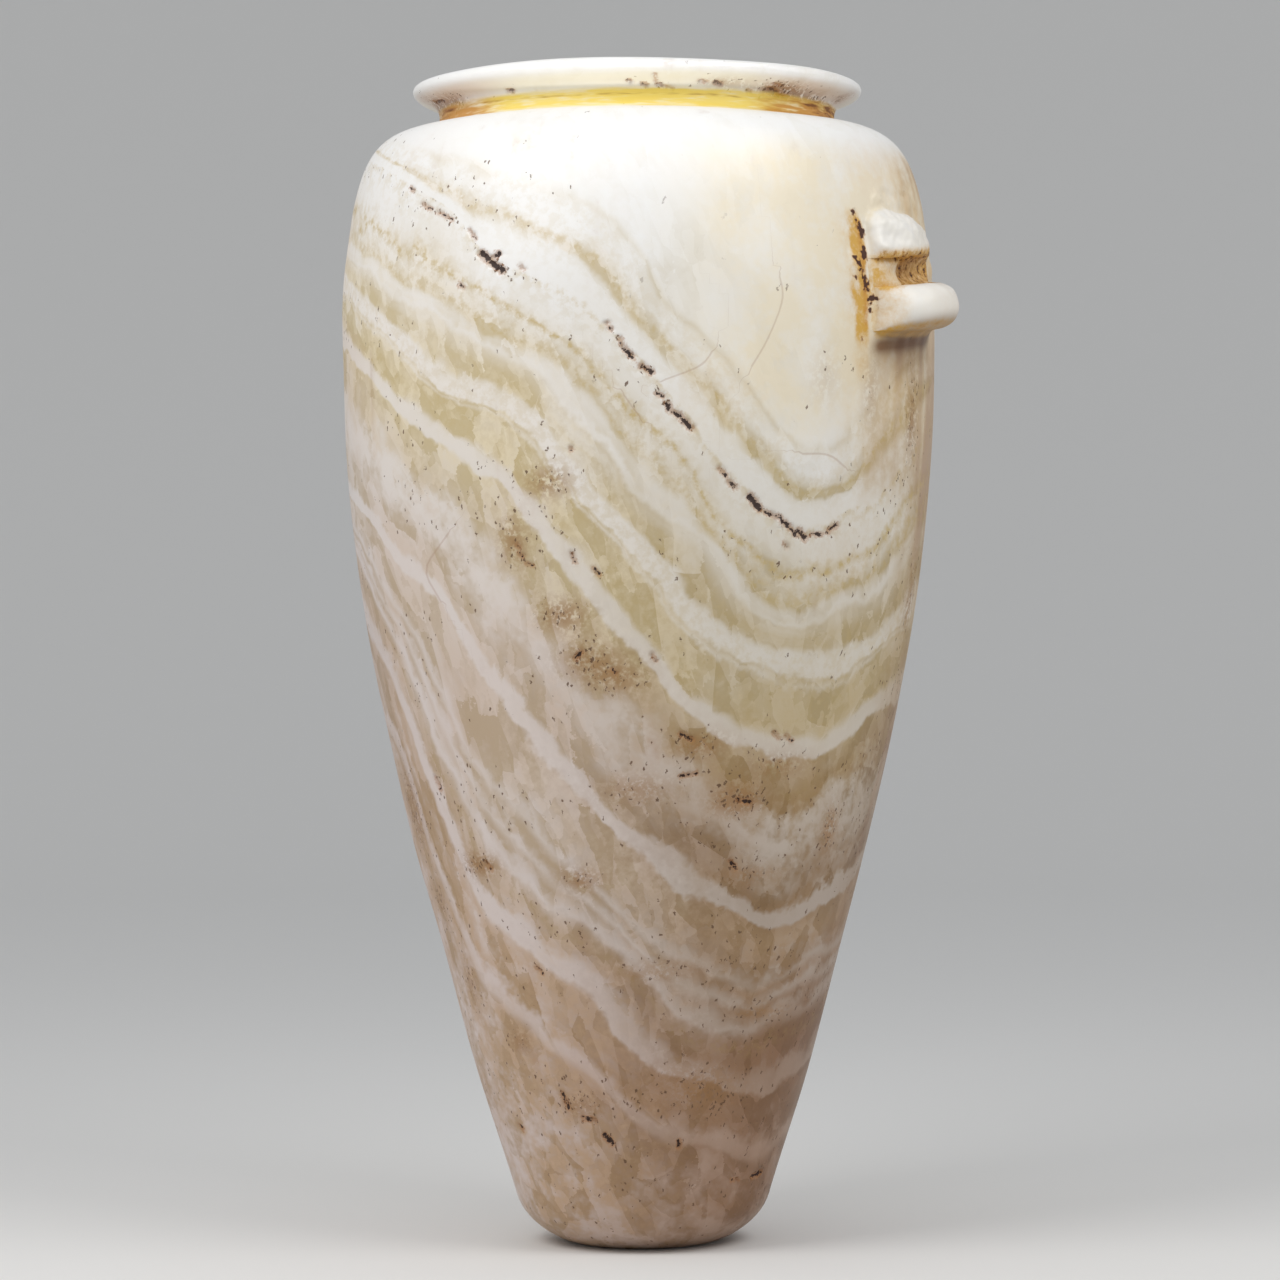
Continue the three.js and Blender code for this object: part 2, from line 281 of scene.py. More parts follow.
def through(points, steps=8):
    """A smooth line through points: each span is the cubic whose end slopes are half the chord from the
    point before to the point after."""
    p = np.array(points, float)
    p = np.vstack([2 * p[0] - p[1], p, 2 * p[-1] - p[-2]])
    t = np.linspace(0, 1, steps, endpoint=False)[None, :, None]
    a, b, c, d = (p[i : len(p) - 3 + i][:, None, :] for i in range(4))
    spans = b + t * (c - a) / 2 + t * t * (a - 2.5 * b + 2 * c - d / 2) + t**3 * (1.5 * (b - c) + (d - a) / 2)
    return np.vstack([spans.reshape(-1, p.shape[1]), p[-2]])


def arc_length(line):
    """Distance along a line of points, from its first."""
    return np.concatenate([[0], np.cumsum(np.hypot(*np.diff(line[:, :2], axis=0).T))])


def waves(points, size, seed, count=14):
    """Smooth noise between about -1 and 1: the sum of plane waves of about one size in random directions."""
    rng = np.random.default_rng(seed)
    direction = rng.normal(size=(3, count))
    direction /= np.linalg.norm(direction, axis=0)
    rate = 2 * math.pi / (size * rng.uniform(0.7, 1.5, count))
    return np.sin(points @ (direction * rate) + rng.uniform(0, 2 * math.pi, count)).sum(1) / math.sqrt(count)


def body_line():
    """The outside wall from the foot's corner to the start of the shoulder."""
    stations = [(r, BODY_FIRST_HEIGHT + BODY_STEP * i) for i, r in enumerate(BODY_RADII)]
    return through([FOOT_CORNER, *stations, SHOULDER_START], steps=20)


def profile_stretches(wall):
    """The whole outline from the foot's middle, up the outside, over the rim and down the hollow.

    It comes as stretches of points, each with the spacing of its rows. The hollow's wall is the body's
    line moved in by the wall's thickness.
    """
    body = body_line()
    body_low = body[body[:, 1] < LUG_LOW]
    shoulder = cubic(*SHOULDER_CURVE, steps=SHOULDER_STEPS)
    wall_high = np.vstack([body[body[:, 1] >= LUG_LOW], shoulder[1:]])
    lug_wall = wall_high[wall_high[:, 1] <= LUG_HIGH]
    shoulder = wall_high[wall_high[:, 1] > LUG_HIGH]
    inner = body[(body[:, 1] >= BODY_FIRST_HEIGHT) & (body[:, 1] <= HOLLOW_TOP)] - (wall, 0)
    lip_low, lip_top = (MOUTH_RADIUS, HEIGHT - LIP), (MOUTH_RADIUS + LIP, HEIGHT)
    bottom = (0, BOTTOM_THICKNESS)
    return (
        (np.array([(3, 0), FOOT_FLAT]), 3.2),
        (cubic(*FOOT_CURVE), 2.0),
        (body_low, 2.9),
        (lug_wall, 1.6),
        (shoulder, 2.0),
        (cubic(*GROOVE_CURVE), 0.9),
        (cubic(*FLANGE_CURVE), 1.0),
        (cubic(*RIM_CURVE), 1.0),
        (np.array([RIM_LAND, lip_top]), 2.0),
        (cubic(lip_top, (MOUTH_RADIUS + 1, HEIGHT), (MOUTH_RADIUS, HEIGHT - 1), lip_low), 0.9),
        (np.array([lip_low, (MOUTH_RADIUS, BORE_BOTTOM)]), 2.2),
        (cubic((MOUTH_RADIUS, BORE_BOTTOM), (MOUTH_RADIUS, 366), (87, 352), inner[-1]), 3.6),
        (inner[::-1], 4.6),
        (cubic(inner[0], (34, 33), (22, BOTTOM_THICKNESS), bottom)[:-1], 4.0),
    )


class Profile:
    """The outline with its rows. The row number runs from 0 along the outline, and any fraction of it
    gives a radius and a height between two rows' places. marks holds each stretch's first row.
    """

    def __init__(self, wall):
        places, outline, self.marks, start = [], [], [], 0.0
        for points, spacing in profile_stretches(wall):
            if outline:
                points = np.vstack([outline[-1][-1], points])
            length = arc_length(points)
            rows = max(int(round(length[-1] / spacing)), 2)
            self.marks.append(len(places))
            places.extend(start + length[-1] * np.arange(rows) / rows)
            outline.append(points)
            start += length[-1]
        places.append(start)
        self.places = np.array(places)
        self.outline = np.vstack(outline)
        self.length = arc_length(self.outline)
        self.rows = len(places)

    def at(self, row):
        """Radius and height at a row number."""
        place = np.interp(row, np.arange(self.rows), self.places)
        return [np.interp(place, self.length, values) for values in self.outline.T]


def wall_radius(height):
    """The outside radius at a height, from the foot's corner to the rim's land."""
    curves = (cubic(*SHOULDER_CURVE, steps=SHOULDER_STEPS), cubic(*GROOVE_CURVE), cubic(*FLANGE_CURVE))
    line = np.vstack([body_line(), *(curve[1:] for curve in curves), [RIM_LAND]])
    return np.interp(height, line[:, 1], line[:, 0])


def column_azimuths(lug_columns, other_columns):
    """Azimuths round the jar, starting at one edge of the lug's window, closer together within it."""
    half = math.asin(LUG_WINDOW / BODY_RADII[-1])
    window = np.linspace(-half, half, lug_columns, endpoint=False)
    return np.concatenate([window, np.linspace(half, 2 * math.pi - half, other_columns + 1)])


class Lattice:
    """A grid of rings that closes on itself, with each flagged cell cut into cuts by cuts smaller ones.

    column and ring are every corner's places as fractions: first the grid's own corners, then those of
    the cuts along rings, between rings and inside cells.
    """

    def __init__(self, rings, columns, flagged, cuts):
        self.i, self.j = np.mgrid[0:rings, 0:columns]
        self.after = (self.j + 1) % columns
        self.corner = self.i * columns + self.j
        self.column, self.ring = self.j.ravel().astype(float), self.i.ravel().astype(float)
        self.flagged, self.cuts, self.step = flagged, cuts, np.arange(1, cuts)
        part, still = self.step / cuts, np.zeros(cuts - 1)
        across, up = (offsets.ravel() for offsets in np.meshgrid(part, part))
        beyond = np.zeros((1, columns), bool)
        self.split_along = np.vstack([flagged, beyond]) | np.vstack([beyond, flagged])
        self.split_between = flagged | np.roll(flagged, 1, axis=1)
        self.along = self.add_corners(self.split_along, part, still)
        self.between = self.add_corners(self.split_between, still, part)
        self.inside = self.add_corners(flagged, across, up)

    def add_corners(self, split, across, up):
        """Adds a run of corners, offset across and up, to each split place; gives each run's first number."""
        first = np.full(split.shape, -1)
        first[split] = len(self.column) + np.arange(split.sum()) * len(across)
        j, i = self.j[: len(split)][split], self.i[: len(split)][split]
        self.column = np.concatenate([self.column, (j[:, None] + across).ravel()])
        self.ring = np.concatenate([self.ring, (i[:, None] + up).ravel()])
        return first

    def cut_faces(self):
        """The corners of the flagged cells' smaller faces, four for each."""
        cuts, step = self.cuts, self.step
        i, j = np.nonzero(self.flagged)
        after = self.after[i, j]
        fine = np.zeros((len(i), cuts + 1, cuts + 1), int)
        for a, ring in ((0, i), (cuts, i + 1)):
            for b, column in ((0, j), (cuts, after)):
                fine[:, a, b] = self.corner[ring, column]
            fine[:, a, 1:cuts] = self.along[ring, j][:, None] + step - 1
        for b, column in ((0, j), (cuts, after)):
            fine[:, 1:cuts, b] = self.between[i, column][:, None] + step - 1
        rows = (cuts - 1) * (step[:, None] - 1) + step - 1
        fine[:, 1:cuts, 1:cuts] = self.inside[i, j][:, None, None] + rows
        return np.stack([fine[:, :-1, :-1], fine[:, :-1, 1:], fine[:, 1:, 1:], fine[:, 1:, :-1]], -1)

    def plain_faces(self):
        """The corners of the other cells, as lists of faces with the same number of corners.

        A plain cell beside a flagged one takes the extra corners of the shared edge, so nothing gapes.
        """
        corner, along, between = self.corner, self.along, self.between
        beside = np.roll(self.split_between, -1, axis=1)
        sides = np.stack([self.split_along[:-1], beside, self.split_along[1:], self.split_between], -1)
        for pattern in range(16):
            wanted = np.array([bool(pattern >> k & 1) for k in range(4)])
            i, j = np.nonzero(~self.flagged & (sides == wanted).all(-1))
            if not len(i):
                continue
            after = self.after[i, j]
            extra = (along[i, j], between[i, after], along[i + 1, j], between[i, j])
            corners = (corner[i, j], corner[i, after], corner[i + 1, after], corner[i + 1, j])
            face = []
            for side in range(4):
                face.append(corners[side][:, None])
                if wanted[side]:
                    run = self.step - 1 if side < 2 else self.step[::-1] - 1
                    face.append(extra[side][:, None] + run)
            yield np.hstack(face)

    def faces(self):
        """All faces: their corners in lists, and lists of each face's number of corners."""
        lists = [self.cut_faces().reshape(-1, 4), *self.plain_faces()]
        return [each.ravel() for each in lists], [np.full(len(each), each.shape[1]) for each in lists]


def new_mesh(name, points, loops, sizes, material):
    """Puts whole arrays of points (in metres) and faces into a new smooth-shaded mesh object."""
    mesh = bpy.data.meshes.new(name)
    mesh.vertices.add(len(points))
    mesh.vertices.foreach_set("co", points.astype(np.float32).ravel())
    mesh.loops.add(len(loops))
    mesh.loops.foreach_set("vertex_index", loops.astype(np.int32))
    mesh.polygons.add(len(sizes))
    starts = np.concatenate([[0], np.cumsum(sizes)[:-1]])
    mesh.polygons.foreach_set("loop_start", starts.astype(np.int32))
    mesh.update(calc_edges=True)
    mesh.polygons.foreach_set("use_smooth", np.ones(len(sizes), bool))
    mesh.materials.append(material)
    made = bpy.data.objects.new(name, mesh)
    bpy.context.scene.collection.objects.link(made)
    return made


def lug_section():
    """The lug's section as an even run of reach, height and how far it belongs to the drilled channel."""
    points = [(r, z, 0.0) for r, z in PRONG_SECTION]
    points += [(r, z, 1.0) for r, z in CHANNEL_SECTION]
    points += [(r, z, 0.0) for r, z in STUB_SECTION]
    line = through(points, steps=12)
    length = arc_length(line)
    return length / length[-1], line[:, 0], line[:, 1], np.clip(line[:, 2], 0, 1)


def end_shape(y):
    """The share of its reach that the lug has at a place along it: a blunt oval, below 0 past its ends."""
    oval = np.sqrt(np.clip(1 - np.abs(y / LUG_HALF_WIDTH) ** 2.5, 0, 1))
    return np.where(np.abs(y) < LUG_HALF_WIDTH, oval, -(np.abs(y) - LUG_HALF_WIDTH) / 6)


def rising(value, rounding):
    """The positive part of a value, with its corner rounded off."""
    return (value + np.sqrt(value * value + rounding * rounding)) / 2


def lug_places(along, up, height):
    """Where the wall's points go under the lug: along runs from -1 to 1 over its window and up from 0 to 1.

    Each row of points follows one point of the section, and spreads along Y by the length of the
    prong's outline seen from above. X is the wall's, plus the section's reach times the end shape; in
    the channel it is the drilled surface itself, where that lies within the stone left behind it.
    """
    share, reach_line, height_line, channel_line = lug_section()
    reach = np.interp(up, share, reach_line)
    level = np.interp(up, share, height_line)
    channel = np.interp(up, share, channel_line)

    wall = BODY_RADII[-1]
    ys = np.linspace(-LUG_WINDOW, LUG_WINDOW, 6001)
    outline = np.stack([ys, np.sqrt(wall**2 - ys**2) + LUG_REACH * np.clip(end_shape(ys), 0, 1)], 1)
    spread = arc_length(outline)
    y_spread = np.interp(along, 2 * spread / spread[-1] - 1, ys)
    y_even = wall * np.sin(along * math.asin(LUG_WINDOW / wall))
    mix = np.clip(reach / LUG_REACH, 0, 1)
    y = y_even + (y_spread - y_even) * mix

    stub = smoothstep(level, STUB_LOW - 3, STUB_LOW + 1)
    top = np.interp(y, *np.array(STUB_TOP_EDGE).T)
    part = (level - STUB_LOW) / (STUB_HIGH - STUB_LOW)
    over = np.clip((level - STUB_HIGH) / (LUG_HIGH - STUB_HIGH), 0, 1)
    below, above = STUB_LOW + (top - STUB_LOW) * part, top + (LUG_HIGH - top) * over
    broken = np.where(level < STUB_HIGH, below, above)
    near = 1 - smoothstep(np.abs(y), *LUG_FADE)
    level = np.where(level > STUB_LOW, broken, level)
    edge = np.sin(math.pi * np.clip(up, 0, 1)) ** 0.5
    tilt = math.tan(LUG_TILT) * y * near * edge
    z = height + (level - height) * near + tilt

    wall_x = np.sqrt(np.clip(wall_radius(z) ** 2 - y * y, 0, None))
    taper = 1 + (np.interp(y, *np.array(STUB_TAPER).T) - 1) * stub
    swell = rising(reach * taper * end_shape(y), SWELL_ROUNDING * np.abs(reach))
    open_x = wall_x + swell * near
    shallow = 1 - smoothstep(y, CHANNEL_STEP - 0.8, CHANNEL_STEP + 0.8)
    drilled = wall + reach + CHANNEL_SHALLOWER * shallow
    stock = wall_x + rising(CHANNEL_STOCK * end_shape(y), STOCK_ROUNDING)
    channel_x = np.minimum(drilled, stock)
    x = open_x + (channel_x - open_x) * channel * near
    return np.stack([x, y, z], 1)


def front_point(across, height):
    """The point on the jar's front at a distance across from its middle and a height."""
    depth = np.sqrt(np.clip(wall_radius(height) ** 2 - across**2, 0, None))
    return across[:, None] * ACROSS + depth[:, None] * TOWARDS + height[:, None] * UP


def distance_to_pits(points):
    """Signed distance to the nearest pit's edge: distance to its middle line less its radius."""
    pits = np.array(PITS, float)
    start, end = front_point(pits[:, 0], pits[:, 1]), front_point(pits[:, 2], pits[:, 3])
    nearest = np.full(len(points), FAR)
    for a, b, r in zip(start, end, pits[:, 4]):
        run = b - a
        t = np.clip((points - a) @ run / max(run @ run, 1e-6), 0, 1)
        nearest = np.minimum(nearest, np.linalg.norm(points - a - t[:, None] * run, axis=1) - r)
    return nearest


def distance_to_cracks(points):
    """Signed sideways distance to the nearest crack, which is 0 on its line and grows past its ends.

    Cracks lie on the front, so a point deeper in the stone than CRACK_DEPTH counts as further away.
    """
    nearest = np.full(len(points), FAR)
    for crack in CRACKS:
        line = front_point(*through(crack, steps=3).T)
        for a, b in zip(line[:-1], line[1:]):
            half = np.linalg.norm(b - a) / 2
            run = (b - a) / (2 * half)
            offset = points - a
            past = np.clip(np.abs(offset @ run - half) - half, 0, None)
            side = np.cross(run, TOWARDS)
            away = offset @ side
            deeper = np.clip(np.abs(offset @ np.cross(side, run)) - CRACK_DEPTH, 0, None)
            signed = np.where(away < 0, -1, 1) * np.sqrt(away**2 + past**2 + deeper**2)
            nearest = np.where(np.abs(signed) < np.abs(nearest), signed, nearest)
    return nearest


def stain_strength(points):
    """Brown staining: the sum of soft oval spots on the front."""
    across, heights = np.array(STAINS, float)[:, :2].T
    total = np.zeros(len(points))
    for middle, (_, height, width, tall, strength) in zip(front_point(across, heights), STAINS):
        sideways = np.linalg.norm((points - middle)[:, :2], axis=1) / width
        total += strength * np.exp(-(sideways**2) - ((points[:, 2] - height) / tall) ** 2)
    return total


def bed_places(points):
    """The stone's own coordinates: along the beds, through the block and the level across the beds.

    The level runs evenly in height between one traced fold line and the next. Behind the jar's widest
    line the beds dip and shift with depth, so that the back isn't the front seen through the stone.
    """
    across, depth, height = points @ ACROSS, points @ TOWARDS, points[:, 2]
    back = smoothstep(-depth, -6, 100)
    across = across + BACK_SWING * back * waves(points, 150, 3, 5) + BACK_SHIFT * back
    height = height + BACK_DIP * back + BACK_DIP_SWING * back * waves(points, 120, 4, 5)
    lines = [np.interp(across, *through(line, steps=4).T) for _, line in FOLDS]
    levels = [level for level, _ in FOLDS]
    level = levels[0] - np.clip(height - lines[0], 0, None) + np.clip(lines[-1] - height, 0, None)
    for high, low, first, second in zip(lines[:-1], lines[1:], levels[:-1], levels[1:]):
        level += np.clip((high - height) / (high - low), 0, 1) * (second - first)
    places = np.stack([across, depth, level], 1)
    places[:, 2] += BED_WAVER * waves(places, 34, 5) * smoothstep(level, 60, 110)
    return places


def cloudiness(points):
    """Three soft fields from -1 to 1: the milky beds' clouds, pink patches and the thin layers' swings."""
    return np.stack([
        waves(points * (0.6, 0.6, 1.2), 46, 21),
        waves(points, 70, 22),
        waves(points * (0.5, 0.5, 1), 30, 23),
    ], 1)


def front_places(points):
    """Places across the front and towards the camera, the first also as a share of the radius (from -1
    on the left to 1 on the right), and a mask of the front."""
    across, depth = points @ ACROSS, points @ TOWARDS
    return across, depth, across / np.maximum(np.hypot(across, depth), 1), smoothstep(depth, -30, 10)


def about_lug(points):
    """Heights with the lug's tilt taken out, how far points stand out of the wall, and those on its side."""
    x, y, z = points.T
    return z - math.tan(LUG_TILT) * y, np.hypot(x, y) - wall_radius(z), x > LUG_SIDE


def side_marks(points):
    """Upright streaks from -1 to 1, and masks of the front's left side, made paler towards the outline as
    painted light, and of its tan right side, which is partly stain and partly painted shade.

    The right side's is a sum of soft steps towards the outline, weaker near the foot, with one more below the
    lug and a bell low down on the middle. It is partly tan and rose stain and partly painted shade, which
    deepens towards the right outline.
    """
    across, _, edge, front = front_places(points)
    height = points[:, 2]
    # Partly painted shade: tan and rose that deepen towards the right outline, over real stain
    right = front * (0.2 * smoothstep(edge, 0.3, 0.8) + 0.55 * smoothstep(edge, 0.82, 0.97))
    right += 0.42 * front * within(height, 248, 264, 300, 322) * smoothstep(edge, 0.6, 0.85)
    right *= (0.85 + 0.3 * waves(points, 60, 31)) * (1 - smoothstep(height, 366, 380))
    right *= 0.15 + 0.85 * smoothstep(height, 70, 150)
    right += 0.27 * front * bell(across, 20, 15) * within(height, 60, 85, 150, 185)
    streak = waves(points * (1, 1, 0.1), 8, 30)
    # The left mask is painted light: paler stone towards the left outline
    return np.stack([streak, front * smoothstep(-edge, 0.55, 0.95), right], 1)


def veils(points, normals, outside, at_lug):
    """Masks of the cream wash beside the lug, the painted shade under its prong and the amber stain.

    The wash is a soft band of heights on the front's right. The painted shade is the prong's shadow: two bells
    of height on the wall under the prong, with the prong's own downward faces darkened too. The amber is the
    groove's two ends and a thin upright line on the wall beside the lug.
    """
    across, depth, edge, front = front_places(points)
    level, proud, lug_side = about_lug(points)
    y, height = points[:, 1], points[:, 2]
    cream = front * smoothstep(edge, 0.0, 0.46) * within(height, 258, 292, 362, 377)
    cream *= (0.85 + 0.2 * waves(points, 26, 32)) * outside
    # Painted shade: the prong's shadow on the wall under it, and its own downward faces darkened
    shade = 0.95 * bell(level, PRONG_SHADE, 3) + 0.3 * bell(level, PRONG_SHADE - 5, 6)
    shade *= lug_side * (1 - smoothstep(np.abs(y + 1), 17, 25))
    facing_down = smoothstep(-normals[:, 2], 0.0, 0.9)
    shade += 0.7 * at_lug * facing_down * (height < 318) * smoothstep(proud, 0.3, 1)
    ends = 1.25 * smoothstep(across, 30, 60) + 1.1 * smoothstep(-across, 38, 62)
    groove = within(height, 382.4, 383.8, 388.6, 391.4) * outside * (depth > 0)
    amber = groove * ends * (1 - 0.4 * smoothstep(height, 386.0, 389.0))
    amber += 0.6 * lug_side * bell(y, STRIP_PLACE + 1.6, 1.5) * within(height, 306, 314, 342, 348)
    return np.stack([cream, np.clip(shade, 0, 1), amber], 1)


def soiling(points, normals, outside, at_lug):
    """Masks of the yellow stain, the brown dirt and the fresh white stone of the lug; the yellow and the brown
    also carry painted shade on the prong's downward faces.

    Each is a sum of three functions' parts: the neck groove, the strip of wall beside the lug, and the
    lug's own channel and prong.
    """
    groove, strip = soiled_groove(points, outside), soiled_strip(points, outside)
    yellow, brown, fresh = lug_stain_and_shade(points, normals, at_lug)
    yellow, brown = groove[0] + strip[0] + yellow, groove[1] + strip[1] + brown
    return np.clip(np.stack([yellow, brown, fresh], 1), 0, 1)


def soiled_groove(points, outside):
    """Yellow and brown of the neck groove: a band of heights, browner at its ends and along one thin line."""
    across, z = points @ ACROSS, points[:, 2]
    rising_in = 0.4 * smoothstep(z, 382.0, 383.4) + 0.6 * smoothstep(z, 383.2, 385.6)
    groove = rising_in * (1 - smoothstep(z, 388.8, 391.4)) * outside
    yellow = groove * (0.95 + 0.12 * waves(points, 30, 41)) * (1 - 0.35 * smoothstep(-across, 36, 56))
    ends = smoothstep(across, 52, 66) + 0.6 * smoothstep(-across, 58, 70)
    return yellow, groove * (0.04 + 0.46 * ends + 0.22 * bell(z, 388.2, 0.4))


def soiled_strip(points, outside):
    """Yellow and brown of the wall beside the lug: a wandering upright strip in a wide halo, with ragged
    blotches, which are distances to their middles less uneven noise."""
    y, z = points[:, 1], points[:, 2]
    lug_side = about_lug(points)[2] * outside
    wander = y + 1.1 * waves(points * (1, 1, 0.6), 7, 45)
    beside = lug_side * bell(wander, STRIP_PLACE, 3.4, 4)
    strip = beside * (within(z, 303, 313, 345, 351) + 0.4 * within(z, 288, 298, 306, 314))
    yellow = 0.26 * lug_side * bell(y, STRIP_PLACE - 3, 7) * within(z, 298, 318, 344, 354)
    yellow += strip * (0.76 + 0.2 * waves(points, 6, 42))
    brown = 0.1 * strip * smoothstep(y, STRIP_PLACE - 2, STRIP_PLACE + 1.5)
    ragged = 0.6 * waves(points, 1.9, 46) + 0.3 * waves(points, 4, 47)
    for place_y, place_z, radius in LUG_BLOTCHES:
        away = np.hypot((y - place_y) * 1.15, (z - place_z) * 0.9) + ragged
        brown += 0.9 * lug_side * (1 - smoothstep(away, radius * 0.25, radius * 1.8))
    return yellow, brown


def lug_stain_and_shade(points, normals, at_lug):
    """Yellow, brown and fresh stone of the lug: bells of height for the drilled channel, the lip above it and
    its floor, the prong's downward faces and its root, and all that stands well out of the wall. The yellow
    and brown on the prong's downward faces are painted shade, in the lug's stain colours."""
    level, proud, _ = about_lug(points)
    y, z = points[:, 1], points[:, 2]
    channel = at_lug * bell(level, CHANNEL_MIDDLE, 4.6, 4) * (proud < 6) * (np.abs(y) < LUG_END)
    deep = smoothstep(y, CHANNEL_STEP - 2, CHANNEL_STEP + 2)
    lip = at_lug * bell(level, CHANNEL_LIP, 2.1) * (1 - smoothstep(np.abs(y), 20, LUG_END))
    floor = at_lug * bell(level, CHANNEL_FLOOR, 1.2) * (np.abs(y) < 22) * (proud < 8)
    # Painted shade: the prong's downward faces, tinted yellow and brown
    under = at_lug * smoothstep(-normals[:, 2], 0.25, 0.8) * (z < 316) * (proud > 0.3)
    root = at_lug * smoothstep(-y, 14, 21) * (proud > 0.3) * (z < 330)
    yellow = channel * (0.42 + 0.4 * deep) + 0.9 * lip + 0.35 * floor + 0.5 * under + 0.34 * root
    striations = waves(points * (0, 1, 0.3), 2.6, 43)
    brown = 0.44 * channel * deep + lip * (0.34 + 0.2 * striations) + 0.2 * under + 0.1 * floor
    return yellow, brown, at_lug * smoothstep(proud, 0.6, 2.2) * (1 - channel)


class Field:
    """A value, colour or place that varies over a surface. Its operators add Math nodes to the material."""

    def __init__(self, tree, socket=None):
        self.tree, self.socket = tree, socket

    def node(self, kind, sockets, out=0, **settings):
        """Adds any node with its settings and its sockets' values or links, and gives one output."""
        made = self.tree.nodes.new(kind)
        for name, value in settings.items():
            setattr(made, name, value)
        for name, value in sockets.items():
            socket = made.inputs[name]
            if isinstance(value, Field):
                self.tree.links.new(value.socket, socket)
            else:
                socket.default_value = (*value, 1) if socket.type == "RGBA" else value
        return Field(self.tree, made.outputs[out])

    def math(self, operation, *values):
        """Adds a Math node."""
        return self.node("ShaderNodeMath", dict(enumerate(values)), operation=operation)

    def __add__(self, other):
        return self.math("ADD", self, other)

    def __radd__(self, other):
        return self.math("ADD", other, self)

    def __sub__(self, other):
        return self.math("SUBTRACT", self, other)

    def __rsub__(self, other):
        return self.math("SUBTRACT", other, self)

    def __mul__(self, other):
        return self.math("MULTIPLY", self, other)

    def __rmul__(self, other):
        return self.math("MULTIPLY", other, self)

    def __truediv__(self, other):
        return self.math("DIVIDE", self, other)

    def __abs__(self):
        return self.math("ABSOLUTE", self)

    def smaller(self, other):
        """The smaller of two values."""
        return self.math("MINIMUM", self, other)

    def rise(self, low, high):
        """0 below low and 1 above high, smooth between; the other way round if low is above high."""
        sockets = {"Value": self, "From Min": low, "From Max": high}
        return self.node("ShaderNodeMapRange", sockets, interpolation_type="SMOOTHSTEP")

    def blend(self, colour, factor):
        """This colour turned towards another by a factor."""
        return self.node("ShaderNodeMix", {0: factor, 6: self, 7: colour}, 2, data_type="RGBA")

    def tint(self, colour, factor):
        """This colour multiplied by another, by a factor."""
        sockets = {0: factor, 6: self, 7: colour}
        return self.node("ShaderNodeMix", sockets, 2, data_type="RGBA", blend_type="MULTIPLY")

    def scaled(self, x, y, z):
        """A place stretched by three factors."""
        return self.node("ShaderNodeVectorMath", {0: self, 1: (x, y, z)}, operation="MULTIPLY")

    def moved(self, other):
        """A place moved by another vector."""
        return self.node("ShaderNodeVectorMath", {0: self, 1: other}, operation="ADD")

    def noise(self, size, detail, roughness=0.5):
        """Cloudy noise from 0 to 1 whose clouds are about one size across, in the place's own unit."""
        sockets = {"Vector": self, "Scale": 1 / size, "Detail": detail, "Roughness": roughness}
        return self.node("ShaderNodeTexNoise", sockets)

    def noise_1d(self):
        """Noise from 0 to 1 along one number, with a swing about every 1."""
        sockets = {"W": self, "Scale": 1.0, "Detail": 1.0, "Roughness": 0.5}
        return self.node("ShaderNodeTexNoise", sockets, noise_dimensions="1D")

    def by_level(self, stops):
        """The colour or three numbers for this level, from stops of a level and three numbers each."""
        first, span = stops[0][0], stops[-1][0] - stops[0][0]
        made = self.node("ShaderNodeValToRGB", {"Fac": (self - first) / span})
        elements = made.socket.node.color_ramp.elements
        while len(elements) < len(stops):
            elements.new(0.5)
        for element, (level, *values) in zip(elements, stops):
            element.position = (level - first) / span
            element.color = (*values, 1)
        return made

    def cells(self, size):
        """Random cells of about one size: the distance to a cell's middle, and each cell's random grey."""
        distance = self.node("ShaderNodeTexVoronoi", {"Vector": self, "Scale": 1 / size})
        return distance, Field(self.tree, distance.socket.node.outputs["Color"]).parts()[0]

    def parts(self):
        """The three numbers of a place."""
        split = self.node("ShaderNodeSeparateXYZ", {0: self})
        return [Field(self.tree, output) for output in split.socket.node.outputs]


def attribute(tree, name):
    """The three numbers stored at the mesh's points under a name."""
    return Field(tree).node("ShaderNodeAttribute", {}, "Vector", attribute_name=name)


# Sizes in millimetres of the stone's noises, crystals, thin layers and specks
FINE_SIZE, GRIT_SIZE, CLOUD_SIZE = 3, 1.1, 12
CRYSTAL_SIZES = (8, 3.6)
THIN_LAYER = 4.6
SPECK_SIZE = 1.2

